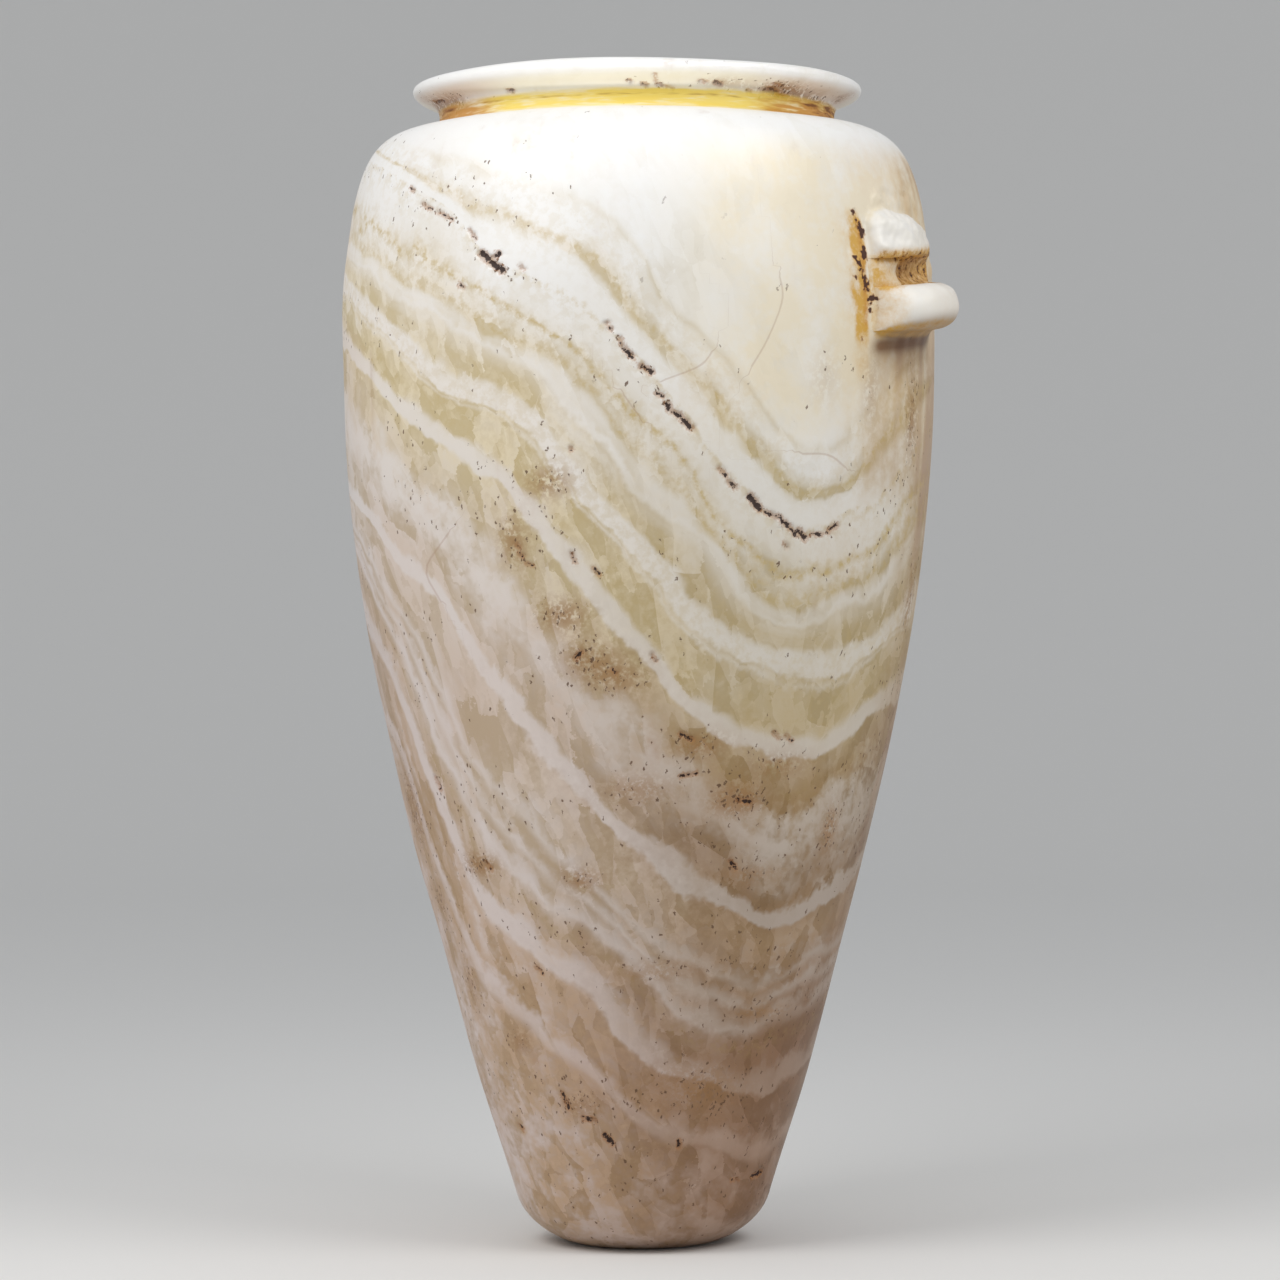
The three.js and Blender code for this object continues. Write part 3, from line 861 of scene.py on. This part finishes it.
# The stone from level to level above and below a middle one, in millimetres: how milky it is from clear
# (0) to white (1), how strong its thin layers are and how cloudy it is. A white band's lower edge is crisp
# and its upper edge fades.
MIDDLE_LEVEL = 199
UPPER_BEDS = (
    (60, 0.88, 0.1, 0.2), (95, 0.84, 0.1, 0.3), (103, 0.82, 0.2, 0.3), (106, 0.60, 0.2, 0.3),
    (108.5, 0.80, 0.2, 0.3), (115, 0.84, 0.2, 0.3), (118, 0.64, 0.2, 0.3), (121, 0.44, 0.3, 0.4),
    (124.5, 0.30, 0.3, 0.4), (126.8, 0.72, 0.2, 0.3), (129, 0.95, 0.1, 0.2), (136, 0.97, 0.1, 0.2),
    (138.5, 0.80, 0.1, 0.2), (142, 0.86, 0.1, 0.3), (147, 0.82, 0.3, 0.4), (150.5, 0.66, 0.3, 0.4),
    (153, 0.40, 0.2, 0.3), (155.5, 0.66, 0.2, 0.3), (158.5, 0.44, 0.3, 0.3), (161.5, 0.28, 0.3, 0.3),
    (163.5, 0.68, 0.3, 0.4), (167, 0.76, 0.4, 0.5), (170.5, 0.50, 0.4, 0.5), (174, 0.28, 0.4, 0.5),
    (178, 0.22, 0.3, 0.4), (180.2, 0.86, 0.2, 0.2), (183, 1.0, 0.1, 0.1), (186.5, 0.98, 0.1, 0.2),
    (188, 0.40, 0.4, 0.2), (189.4, 0.64, 0.5, 0.3), (191, 0.20, 0.3, 0.5), (MIDDLE_LEVEL, 0.06, 0.2, 0.8),
)
LOWER_BEDS = (
    (MIDDLE_LEVEL, 0.06, 0.2, 0.8), (203, 0.09, 0.1, 0.6), (206.5, 0.82, 0.1, 0.2),
    (212.5, 1.0, 0.1, 0.1), (214.3, 0.08, 0.1, 0.3), (226, 0.04, 0.2, 0.9), (233, 0.50, 0.1, 1.2),
    (242, 0.70, 0.2, 1.1), (250, 0.34, 0.3, 1.1), (260.5, 0.08, 0.2, 0.6), (263, 0.88, 0.1, 0.2),
    (267.3, 0.98, 0.1, 0.1), (269, 0.08, 0.1, 0.3), (279, 0.14, 0.3, 0.6), (285, 0.28, 0.4, 0.5),
    (288.5, 0.70, 0.3, 0.4), (291.5, 0.28, 0.3, 0.4), (295.5, 0.72, 0.3, 0.4), (298, 0.34, 0.3, 0.4),
    (303, 0.84, 0.3, 0.4), (305.5, 0.44, 0.3, 0.4), (308.5, 0.10, 0.2, 0.3), (315, 0.14, 0.2, 0.6),
    (318.5, 0.76, 0.2, 0.5), (323.3, 0.90, 0.2, 0.4), (325.3, 0.10, 0.2, 0.6), (338, 0.14, 0.3, 0.9),
    (342, 0.74, 0.2, 0.6), (345.5, 0.60, 0.2, 0.7), (348, 0.16, 0.3, 0.9), (365, 0.32, 0.2, 1.3),
    (420, 0.42, 0.2, 1.4),
)
# Seams between beds: level, how many dirt specks gather there and how yellow the seam is
SEAMS = (
    (100, 0.0, 0.0), (104, 0.2, 0.0), (108, 0.1, 0.2), (119, 0.1, 0.2), (122, 0.25, 0.7), (125, 0.0, 0.2),
    (136.6, 0.0, 0.0), (138.4, 1.0, 0.5), (140.4, 0.7, 0.3), (147, 0.15, 0.1), (152, 0.15, 0.3),
    (154, 0.35, 1.0), (156.5, 0.1, 0.2), (161, 0.1, 0.6), (165, 0.1, 0.0), (176, 0.1, 0.3),
    (203, 0.1, 0.2), (205.4, 0.8, 0.4), (207.2, 0.2, 0.0), (216, 0.2, 0.0), (224, 0.4, 0.2),
    (236, 0.1, 0.0), (250, 0.25, 0.0), (262, 0.0, 0.0), (286, 0.15, 0.0), (304, 0.3, 0.0),
    (307.6, 0.6, 0.1), (310, 1.0, 0.2), (313, 0.3, 0.0), (320, 0.1, 0.0), (330, 0.25, 0.0),
)

# Colours of the clear and the milky stone from level to level, on the front's left and right
CLEAR_LEFT = (
    (60, "cream"), (124, "pale_cream"), (180, "pale_green"), (212, "pale_green"), (240, "pale_honey"),
    (270, "pale_honey"), (330, "pale_tan"), (400, "pale_tan"),
)
CLEAR_RIGHT = (
    (60, "cream"), (124, "grey_honey"), (180, "green_honey"), (205, "green_honey"), (225, "honey"),
    (258, "deep_honey"), (275, "sandy"), (308, "tan"), (400, "tan"),
)
WHITE_LEFT = (
    (60, "warm_white"), (140, "white"), (185, "soft_white"), (215, "cream_white"), (265, "lilac_white"),
    (340, "pale_lilac"), (400, "pale_lilac"),
)
WHITE_RIGHT = (
    (60, "warm_white"), (105, "warm_white"), (140, "oat_white"), (200, "sand_white"), (265, "rosy_white"),
    (298, "rosy_white"), (315, "dull_rose"), (345, "rosy_tan"), (400, "rosy_tan"),
)


def stone_fields(tree):
    """All that the stone's finish is worked out from, as one set of named fields.

    They are the mesh's own attributes and noises on Object coordinates in millimetres. The level across
    the beds is the mesh's own, roughened by the noises and the crystals; lower is 1 in the lower beds, and
    side runs from 0 on the left to 1 on the right.
    """
    f = SimpleNamespace()
    f.place = Field(tree).node("ShaderNodeTexCoord", {}, "Object").scaled(1 / MM, 1 / MM, 1 / MM)
    f.height = f.place.parts()[2]
    bed = attribute(tree, "bed")
    along, _, smooth_level = bed.parts()
    f.pit_distance, f.crack_distance, f.stain = attribute(tree, "marks").parts()
    f.yellow, f.brown, f.fresh = attribute(tree, "soiling").parts()
    f.broad, f.patches, f.swing = attribute(tree, "clouds").parts()
    f.streak, f.left, f.right = attribute(tree, "sides").parts()
    f.cream, f.shade, f.amber = attribute(tree, "veils").parts()

    f.fine = f.place.noise(FINE_SIZE, 3, 0.62) - 0.5
    f.grit = f.place.noise(GRIT_SIZE, 2, 0.6) - 0.5
    f.cloud = f.place.noise(CLOUD_SIZE, 3, 0.55) - 0.5
    crystals = bed.moved(f.fine * 3.4).scaled(1, 0.7, 0.62)
    large, small = (crystals.cells(size)[1] for size in CRYSTAL_SIZES)
    f.crystal = large * 0.6 + small * 0.4 - 0.5
    f.level = smooth_level + f.cloud * 9 + f.fine + f.crystal * 1.3 + f.swing * 0.8
    f.lower = (f.level - MIDDLE_LEVEL).rise(-0.5, 0.5)
    f.side = (along + (f.cloud + f.fine) * 30).rise(-50, 45)
    return f


def milkiness(f):
    """How milky the stone is, from clear (0) to white (1): the beds' own share, plus their thin layers,
    their clouds and the crystals, each by the strength that the beds give it."""
    beds = f.level.by_level(UPPER_BEDS).blend(f.level.by_level(LOWER_BEDS), f.lower)
    milk, thinness, cloudiness = beds.parts()
    thin = (f.level / THIN_LAYER + f.swing * 0.5).noise_1d() - 0.5
    mosaic = f.crystal * 0.48 * (1.1 - milk)
    milk = milk + thin * thinness * (1 + f.broad * 0.5) + (f.cloud * 1.5 + f.fine * 0.7) * cloudiness
    # f.left whitens the stone towards the left outline as painted light
    return (milk + mosaic + f.broad * 0.08 + f.streak * 0.04 + f.left * 0.1).rise(-0.05, 1.05)


def bed_colour(f, colours):
    """The clear stone blended to the milky one, each from its left side's colours by level to its right's."""
    def coloured(stops):
        """The colour for this level, from stops of a level and a colour's name."""
        return f.level.by_level([(level, *getattr(colours, name)) for level, name in stops])

    clear = coloured(CLEAR_LEFT).blend(coloured(CLEAR_RIGHT), f.side)
    white = coloured(WHITE_LEFT).blend(coloured(WHITE_RIGHT), f.side)
    clear = clear.tint(colours.crystal_tint, 0.5 - f.crystal * 2.2 + f.fine * 1.2)
    return clear.blend(white, milkiness(f))


def veiled(f, colours, stone):
    """Broad tints over the beds: pink patches, the cream wash beside the lug, and the tan and the rose of the
    right side, which are partly stain and partly painted shade towards its outline, all broken up by the
    noises."""
    stone = stone.tint(colours.pink_tint, (f.patches + f.fine + f.lower - 0.6).rise(0.0, 1.2) * 0.5)
    stone = stone.tint(colours.cream_wash, f.cream * (1 + f.cloud * 1.6 + f.fine * 0.6))
    # The right side's tan and rose: stain, with painted shade towards the right outline
    stone = stone.tint(colours.veil_tan, (f.right * (1.4 + f.streak * 0.35 + f.fine * 1.2)).rise(0.0, 1.3))
    rose = ((f.right - 0.4) * (1 + f.streak + f.fine * 2)).rise(0.0, 1.1)
    return stone.blend(colours.rose_brown, rose * 0.55)


def specked(f, colours, stone):
    """Yellow seams, brown stains and dirt specks; returns the stone and the specks' mask.

    A small cell is a speck where its random grey plus the density passes 0.99. The density is highest
    along the seams, in the stains and round the pits.
    """
    seam_dirt, seam_yellow, _ = f.level.by_level([(*stop, 0.0) for stop in SEAMS]).parts()
    stone = stone.blend(colours.seam_yellow, seam_yellow * (f.fine + 0.1).rise(0.0, 0.25) * 0.8)
    near_pit = f.pit_distance.rise(1.8, 0.0)
    distance, choice = f.place.moved(f.fine * 4).scaled(1, 1, 0.42).cells(SPECK_SIZE)
    density = seam_dirt * f.swing.rise(-0.6, 0.6) * 0.5 + f.stain * 0.62 + near_pit * 0.14
    density = density + (f.right * 0.1 + f.side * 0.03) * f.lower
    speck = (distance + f.grit * 0.9 - near_pit * 0.08).rise(0.34, 0.19)
    specks = speck * (choice + density).rise(0.99, 1.004)
    smear = f.stain * (f.fine + f.grit * 0.9 + 0.26).rise(0.04, 0.34)
    smear = smear * 0.85 + near_pit * (f.fine + 0.1).rise(0.0, 0.3) * 0.3
    stone = stone.blend(colours.stain_brown, smear.smaller(0.75))
    return stone.blend(colours.speck_brown, specks * 0.85), specks


def pitted(f, colours, stone):
    """Dirt-filled pits with rusty edges, greyer on the rim, and hair cracks; returns the stone and the
    pits' mask. A pit's edge is the distance to it made ragged by the noises."""
    ragged = f.pit_distance + f.grit * 2.2 + f.fine * 3
    pit = ragged.rise(-0.2, -0.45)
    crack = (abs(f.crack_distance) + f.fine * 0.3).rise(0.45, 0.1)
    stone = stone.blend(colours.rust, ragged.rise(0.8, -0.1) * 0.5)
    stone = stone.blend(colours.pit_black, pit * (0.94 - f.height.rise(386, 390) * 0.4))
    return stone.blend(colours.rose_brown, crack * 0.3), pit


def soiled(f, colours, stone):
    """The lug's fresh stone and the painted shade under the prong, then the yellow, amber and brown over it;
    returns the stone and the mask of thick dirt. Stains are broken up by noise, and in the groove by streaks
    left in turning."""
    groove = f.height.rise(370, 378)
    stone = stone.blend(colours.warm_white, f.fresh * 0.6)
    # Painted shade: the prong's shadow on the wall and its darkened downward faces
    stone = stone.tint(colours.shade, f.shade)
    mottle = f.fine + f.grit * 0.6
    turned = f.place.scaled(0.2, 0.2, 1.6).noise(2, 2, 0.6) - 0.5
    mottle = mottle + (turned * 1.3 - mottle) * groove
    sallow = (f.yellow * (1 + mottle * 1.5)).rise(0.0, 1.0)
    stone = stone.blend(colours.mustard, sallow * (1 - groove) * 0.92)
    stone = stone.blend(colours.lemon, sallow * groove * 0.95)
    stone = stone.blend(colours.amber, (f.amber * (1 + mottle * 2.4)).rise(0.05, 1.0) * 0.9)
    soil = f.brown + mottle * 2.2 * f.brown.rise(0.0, 0.4)
    stone = stone.blend(colours.umber, soil.rise(0.1, 0.8) * 0.85)
    dirt = soil.rise(0.6, 0.8) * (1 - groove * 0.55)
    return stone.blend(colours.dirt_brown, dirt * 0.95), dirt


def stone_material(colours):
    """Banded travertine: the beds' colour, then veils, specks, pits and soiling over it."""
    material = bpy.data.materials.new("banded_stone")
    material.use_nodes = True
    tree = material.node_tree
    tree.nodes.clear()
    f = stone_fields(tree)
    stone = veiled(f, colours, bed_colour(f, colours))
    stone, specks = specked(f, colours, stone)
    stone, pit = pitted(f, colours, stone)
    stone, dirt = soiled(f, colours, stone)
    grain = f.place.noise(0.9, 1) * 0.05 - abs(f.crack_distance).rise(0.5, 0.1) * 0.1
    bump = f.place.node("ShaderNodeBump", {"Height": grain, "Distance": 0.4 * MM, "Strength": 0.6})
    roughness = 0.4 + f.patches * 0.04 + pit * 0.4 + f.yellow * 0.12 + dirt * 0.25 + specks * 0.2
    shader = f.place.node("ShaderNodeBsdfPrincipled", {
        "Base Color": stone, "Roughness": roughness, "Normal": bump, "IOR": 1.5,
    })
    output = tree.nodes.new("ShaderNodeOutputMaterial")
    tree.links.new(shader.socket, output.inputs["Surface"])
    return material


def colour(name, description, default):
    """A colour setting."""
    return FloatVectorProperty(
        name=name, description=description, default=default, min=0, max=1, size=3, subtype="COLOR",
    )


def metres(name, description, default, low, high):
    """A length setting in metres."""
    return FloatProperty(
        name=name, description=description, default=default, min=low, max=high, subtype="DISTANCE",
        unit="LENGTH",
    )


def number(name, description, default, low, high):
    """A whole-number setting."""
    return IntProperty(name=name, description=description, default=default, min=low, max=high)


class JarSizes(bpy.types.PropertyGroup):
    """Sizes of the jar."""

    wall: metres("Wall", "Thickness of the wall round the hollow", 0.0144, 0.006, 0.03)
    pit_depth: metres("Pit depth", "How deep the natural pits are", 0.0010, 0, 0.005)
    unevenness: metres("Unevenness", "Swell and dip of the hand-ground wall", 0.00025, 0, 0.002)
    lug_columns: number("Lug columns", "Cells across the lug before it is refined", 36, 12, 72)
    other_columns: number("Other columns", "Cells round the rest of the jar", 180, 60, 360)
    cuts: number("Cuts", "Smaller cells along each side of a refined one", 4, 2, 6)


# The stone's colours and what each is for
COLOURS = {
    "warm_white": ((0.89, 0.885, 0.87), "Milky beds near the top"),
    "white": ((0.89, 0.875, 0.85), "Milky beds of the upper wall"),
    "soft_white": ((0.87, 0.815, 0.75), "Milky beds above the middle"),
    "cream_white": ((0.81, 0.745, 0.675), "Milky beds at the middle"),
    "lilac_white": ((0.78, 0.71, 0.67), "Milky beds below the middle, on the left"),
    "pale_lilac": ((0.70, 0.59, 0.55), "Milky beds near the foot, on the left"),
    "oat_white": ((0.80, 0.76, 0.69), "Milky beds above the middle, on the right"),
    "sand_white": ((0.70, 0.64, 0.55), "Milky beds at the middle, on the right"),
    "rosy_white": ((0.47, 0.385, 0.32), "Milky beds below the middle, on the right"),
    "dull_rose": ((0.35, 0.235, 0.165), "Milky beds of the lower wall, on the right"),
    "rosy_tan": ((0.41, 0.27, 0.19), "Milky beds near the foot, on the right"),
    "cream": ((0.84, 0.80, 0.70), "Clear stone near the top"),
    "grey_honey": ((0.66, 0.55, 0.34), "Clear lines of the upper beds"),
    "green_honey": ((0.58, 0.465, 0.285), "Clear beds above the middle"),
    "pale_cream": ((0.84, 0.75, 0.62), "Clear lines of the upper beds, on the left"),
    "pale_green": ((0.79, 0.68, 0.48), "Clear beds above the middle, on the left"),
    "pale_honey": ((0.71, 0.595, 0.50), "Clear beds below the middle, on the left"),
    "pale_tan": ((0.56, 0.385, 0.255), "Clear beds near the foot, on the left"),
    "honey": ((0.38, 0.25, 0.115), "Clear beds at the middle, on the right"),
    "sandy": ((0.42, 0.275, 0.155), "Clear bed under the lowest thin white one, on the right"),
    "deep_honey": ((0.30, 0.18, 0.085), "Clear beds below the middle, on the right"),
    "tan": ((0.262, 0.132, 0.06), "Clear beds near the foot, on the right"),
    "cream_wash": ((0.98, 0.89, 0.71), "The cream wash beside the lug"),
    # veil_tan paints the right side's tan stain and its painted shade towards the outline
    "veil_tan": ((0.78, 0.65, 0.49), "The tan veil over the right side"),
    # shade is painted shade, not grime: the prong's shadow on the wall under it and on its downward faces
    "shade": ((0.30, 0.19, 0.115), "Grime on the wall under the prong"),
    # rose_brown paints the right side's rose stain with painted shade towards the outline, and the cracks
    "rose_brown": ((0.38, 0.21, 0.13), "Stained stone of the right side"),
    "crystal_tint": ((0.78, 0.74, 0.62), "Darker crystals in the clear beds"),
    "pink_tint": ((0.95, 0.88, 0.85), "Faint pink patches"),
    "seam_yellow": ((0.55, 0.40, 0.14), "Yellow stain along seams"),
    "rust": ((0.40, 0.17, 0.05), "Rusty edges of the pits"),
    "stain_brown": ((0.33, 0.165, 0.05), "Soft brown stains"),
    "speck_brown": ((0.11, 0.05, 0.02), "Dirt specks along the seams"),
    "amber": ((0.58, 0.27, 0.05), "Orange-brown ends of the groove"),
    # umber and mustard also colour the painted shade on the prong's downward faces
    "umber": ((0.34, 0.13, 0.02), "Thin brown dirt in the groove and the lug"),
    "dirt_brown": ((0.055, 0.018, 0.012), "Thick dirt in the groove and beside the lug"),
    "mustard": ((0.66, 0.36, 0.03), "Yellow stain round the lug"),
    "lemon": ((0.88, 0.68, 0.11), "Yellow stain in the neck groove"),
    "pit_black": ((0.028, 0.013, 0.012), "Dirt packed into the pits"),
}


class StoneColours(bpy.types.PropertyGroup):
    """Colours of the banded stone and of what has settled in it."""

    __annotations__ = {
        name: colour(name.replace("_", " ").capitalize(), text, value)
        for name, (value, text) in COLOURS.items()
    }


class StageSettings(bpy.types.PropertyGroup):
    """Camera and floor."""

    camera_distance: metres("Camera distance", "From the jar's axis to the camera", 1.441, 0.5, 5)
    camera_height: metres("Camera height", "Height of the level camera", 0.2077, 0, 1)
    lens: FloatProperty(
        name="Lens", description="Focal length on a 36 mm sensor", default=116.9, min=20, max=300,
        subtype="DISTANCE_CAMERA",
    )
    floor_colour: colour("Floor", "The plain pale floor", (0.85, 0.845, 0.83))


def jar_lattice(profile, sizes):
    """The jar's points in millimetres, each point's row, and the faces' corners and counts.

    Rows run up the outline and columns round the axis, and the lug's window has its own places. Cells in
    the window or near a pit are cut smaller, and a fan of triangles closes each end of the outline.
    """
    azimuths = column_azimuths(sizes.lug_columns, sizes.other_columns)
    columns = len(azimuths) - 1
    lug_first, lug_last = profile.marks[LUG_STRETCH], profile.marks[SHOULDER_STRETCH]

    def places(column, row):
        """Points at fractional columns and rows."""
        azimuth = np.interp(column, np.arange(columns + 1), azimuths)
        radius, height = profile.at(row)
        points = np.stack([radius * np.cos(azimuth), radius * np.sin(azimuth), height], 1)
        window = (column <= sizes.lug_columns) & (row >= lug_first) & (row <= lug_last)
        along = 2 * column[window] / sizes.lug_columns - 1
        up = (row[window] - lug_first) / (lug_last - lug_first)
        points[window] = lug_places(along, up, height[window])
        return points

    i, j = np.mgrid[0 : profile.rows - 1, 0:columns]
    middles = places(j.ravel() + 0.5, i.ravel() + 0.5)
    near_pit = distance_to_pits(middles).reshape(i.shape) < PIT_ZONE
    flagged = near_pit & (i < profile.marks[LAND_STRETCH])
    flagged |= (j < sizes.lug_columns) & (i >= lug_first) & (i < lug_last)
    lattice = Lattice(profile.rows, columns, flagged, sizes.cuts)
    points, row = places(lattice.column, lattice.ring), lattice.ring
    loops, counts = lattice.faces()

    ring = np.arange(columns)
    after = (ring + 1) % columns
    foot_pole, hollow_pole = len(points), len(points) + 1
    last = (profile.rows - 1) * columns
    loops.append(np.stack([np.full(columns, foot_pole), after, ring], 1).ravel())
    loops.append(np.stack([np.full(columns, hollow_pole), last + ring, last + after], 1).ravel())
    counts.append(np.full(2 * columns, 3))
    points = np.vstack([points, [0, 0, 0], [0, 0, BOTTOM_THICKNESS]])
    row = np.concatenate([row, [0, profile.rows - 1]])
    return points, row, np.concatenate(loops), np.concatenate(counts)


def relief(points, pits, outside, at_lug, sizes):
    """How far each point is pushed out along its normal: a broad swell on the wall, less the pits' ragged
    hollows, plus the worn lug's ripples, which are deeper on the broken stub."""
    height = points[:, 2]
    push = waves(points, 60, 11) * sizes.unevenness / MM * smoothstep(height, 6, 20) * outside
    ragged = pits + 0.35 * waves(points, 2.2, 12)
    push -= sizes.pit_depth / MM * smoothstep(-ragged, -0.6, 0.9)
    broken = 0.5 * waves(points, 8, 15) + 0.14 * waves(points, 3, 14)
    stub = smoothstep(height, STUB_LOW - 3, STUB_LOW + 2)
    return push + at_lug * (0.09 * waves(points, 8, 13) + stub * broken)


class JAR_OT_build_jar(bpy.types.Operator):
    """Build the stone jar with its broken lug"""

    bl_idname = "stone_jar.build_jar"
    bl_label = "Build jar"

    def execute(self, context):
        sizes, colours = context.scene.stone_jar_sizes, context.scene.stone_jar_colours
        profile = Profile(sizes.wall / MM)
        points, row, loops, counts = jar_lattice(profile, sizes)
        outside = row < profile.marks[LAND_STRETCH]
        at_lug = (row > profile.marks[LUG_STRETCH]) & (row < profile.marks[SHOULDER_STRETCH])
        at_lug &= (points[:, 0] > LUG_STONE) & (np.abs(points[:, 1]) < LUG_END)

        jar = new_mesh("jar_stone", points * MM, loops, counts, stone_material(colours))
        normals = np.empty(len(points) * 3, np.float32)
        jar.data.vertices.foreach_get("normal", normals)
        normals = normals.reshape(-1, 3)
        pits = distance_to_pits(points)
        shaped = points + normals * relief(points, pits, outside, at_lug, sizes)[:, None]
        jar.data.vertices.foreach_set("co", (shaped * MM).astype(np.float32).ravel())
        for name, values in (
            ("bed", bed_places(points)),
            ("marks", np.stack([pits, distance_to_cracks(points), stain_strength(points)], 1)),
            ("soiling", soiling(points, normals, outside, at_lug)),
            ("clouds", cloudiness(points)),
            ("sides", side_marks(points)),
            ("veils", veils(points, normals, outside, at_lug)),
        ):
            layer = jar.data.attributes.new(name, "FLOAT_VECTOR", "POINT")
            layer.data.foreach_set("vector", values.astype(np.float32).ravel())
        jar.data.update()
        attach(jar, "root")
        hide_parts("jar")
        return {"FINISHED"}


# The lights: place across, towards the camera and up, height aimed at on the axis, and width and depth in
# metres, then watts and the beam's spread in degrees
LIGHTS = {
    "key left": ((-0.44, 0.40, 0.73), 0.30, (0.40, 0.40), 2.5, 180),
    "key right": ((0.44, 0.40, 0.73), 0.30, (0.40, 0.40), 1.9, 180),
    "rim fill": ((0.0, 0.60, 0.05), 0.50, (0.24, 0.03), 0.04, 14),
}
# The floor in metres: its inner disc, the reach of its level part and the radius of the bend behind it
FLOOR_INNER, FLOOR_REACH, FLOOR_BEND = 0.3, 2.0, 1.4
FLOOR_SIDES, FLOOR_BEND_STEPS = 96, 24
LIGHT_TONE = (1, 0.99, 0.98)
WORLD_TONE = (0.97, 0.99, 1.02)
WORLD_STRENGTH = 0.5


def area_light(name, beside, aim_height, size, watts, spread):
    """A soft oblong light, turned to face a point on the jar's axis."""
    data = bpy.data.lights.new(name, "AREA")
    data.shape, (data.size, data.size_y) = "RECTANGLE", size
    data.energy, data.color, data.spread = watts, LIGHT_TONE, math.radians(spread)
    place = Vector(beside[0] * ACROSS + beside[1] * TOWARDS + beside[2] * UP)
    made = bpy.data.objects.new(name, data)
    made.location = place
    made.rotation_euler = (Vector((0, 0, aim_height)) - place).to_track_quat("-Z", "Y").to_euler()
    made.visible_camera = False
    bpy.context.scene.collection.objects.link(made)


class JAR_OT_build_stage(bpy.types.Operator):
    """Build the floor, the lights and the camera"""

    bl_idname = "stone_jar.build_stage"
    bl_label = "Build stage"

    def execute(self, context):
        settings = context.scene.stone_jar_stage
        self.floor(settings)
        self.lights(context.scene)
        self.camera(context.scene, settings)
        return {"FINISHED"}

    def floor(self, settings):
        """A level round floor that turns up into a wall far behind: a quarter circle joins the two."""
        material = bpy.data.materials.new("pale_floor")
        material.use_nodes = True
        shader = material.node_tree.nodes["Principled BSDF"]
        shader.inputs["Base Color"].default_value = (*settings.floor_colour, 1)
        shader.inputs["Roughness"].default_value = 0.8
        shader.inputs["Specular IOR Level"].default_value = 0.0
        turn = np.linspace(0, math.pi / 2, FLOOR_BEND_STEPS + 1)[1:]
        radius = np.concatenate([[FLOOR_INNER, FLOOR_REACH], FLOOR_REACH + FLOOR_BEND * np.sin(turn)])
        height = np.concatenate([[0.0, 0.0], FLOOR_BEND * (1 - np.cos(turn))])
        sides = FLOOR_SIDES
        azimuth = np.linspace(0, 2 * math.pi, sides, endpoint=False)
        points = np.stack([
            np.outer(radius, np.cos(azimuth)), np.outer(radius, np.sin(azimuth)),
            np.outer(height, np.ones(sides)),
        ], -1).reshape(-1, 3)
        i, j = np.mgrid[0 : len(radius) - 1, 0:sides]
        after = (j + 1) % sides
        quads = np.stack([i * sides + j, (i + 1) * sides + j, (i + 1) * sides + after, i * sides + after], -1)
        loops = np.concatenate([quads.ravel(), np.arange(sides)])
        counts = np.concatenate([np.full(i.size, 4), [sides]])
        new_mesh("floor", points, loops, counts, material)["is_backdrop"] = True

    def lights(self, scene):
        """Two soft keys and a narrow fill for the rim's underside, in an evenly pale world."""
        for name, light in LIGHTS.items():
            area_light(name, *light)
        world = bpy.data.worlds.new("studio")
        world.use_nodes = True
        background = world.node_tree.nodes["Background"]
        background.inputs["Color"].default_value = (*WORLD_TONE, 1)
        background.inputs["Strength"].default_value = WORLD_STRENGTH
        scene.world = world
        scene.view_settings.view_transform = "Standard"

    def camera(self, scene, settings):
        """A level camera at the view's azimuth, facing the axis, with a hair of roll."""
        data = bpy.data.cameras.new("camera")
        data.sensor_width = 36
        data.lens = settings.lens
        made = bpy.data.objects.new("camera", data)
        made.location = (*(settings.camera_distance * TOWARDS[:2]), settings.camera_height)
        made.rotation_euler = (math.pi / 2, CAMERA_ROLL, VIEW_AZIMUTH)
        scene.collection.objects.link(made)
        scene.camera = made


class JAR_PT_panel(bpy.types.Panel):
    """Lists the jar's settings and operators"""

    bl_label = "Stone Jar"
    bl_idname = "JAR_PT_panel"
    bl_space_type = "VIEW_3D"
    bl_region_type = "UI"
    bl_category = "Stone Jar"

    def draw(self, context):
        """Each group of settings in a box, with its operator's button under it."""
        for group, operator in (
            (context.scene.stone_jar_sizes, JAR_OT_build_jar.bl_idname),
            (context.scene.stone_jar_colours, None),
            (context.scene.stone_jar_stage, JAR_OT_build_stage.bl_idname),
        ):
            box = self.layout.box()
            for name in group.__annotations__:
                box.prop(group, name)
            if operator:
                box.operator(operator)


CLASSES = (JarSizes, StoneColours, StageSettings, JAR_OT_build_jar, JAR_OT_build_stage, JAR_PT_panel)


def register():
    """Registers the classes and hangs the settings on the scene."""
    for each in CLASSES:
        bpy.utils.register_class(each)
    bpy.types.Scene.stone_jar_sizes = PointerProperty(type=JarSizes)
    bpy.types.Scene.stone_jar_colours = PointerProperty(type=StoneColours)
    bpy.types.Scene.stone_jar_stage = PointerProperty(type=StageSettings)


def unregister():
    """Undoes register, in the opposite order."""
    del bpy.types.Scene.stone_jar_stage
    del bpy.types.Scene.stone_jar_colours
    del bpy.types.Scene.stone_jar_sizes
    for each in reversed(CLASSES):
        bpy.utils.unregister_class(each)


def main():
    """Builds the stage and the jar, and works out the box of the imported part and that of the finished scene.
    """
    register()
    bpy.ops.stone_jar.build_stage()
    bpy.ops.stone_jar.build_jar()
    as_lists = [[list(map(float, corner)) for corner in box] for box in (CAD_BOX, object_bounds())]


if __name__ == "__main__":
    main()
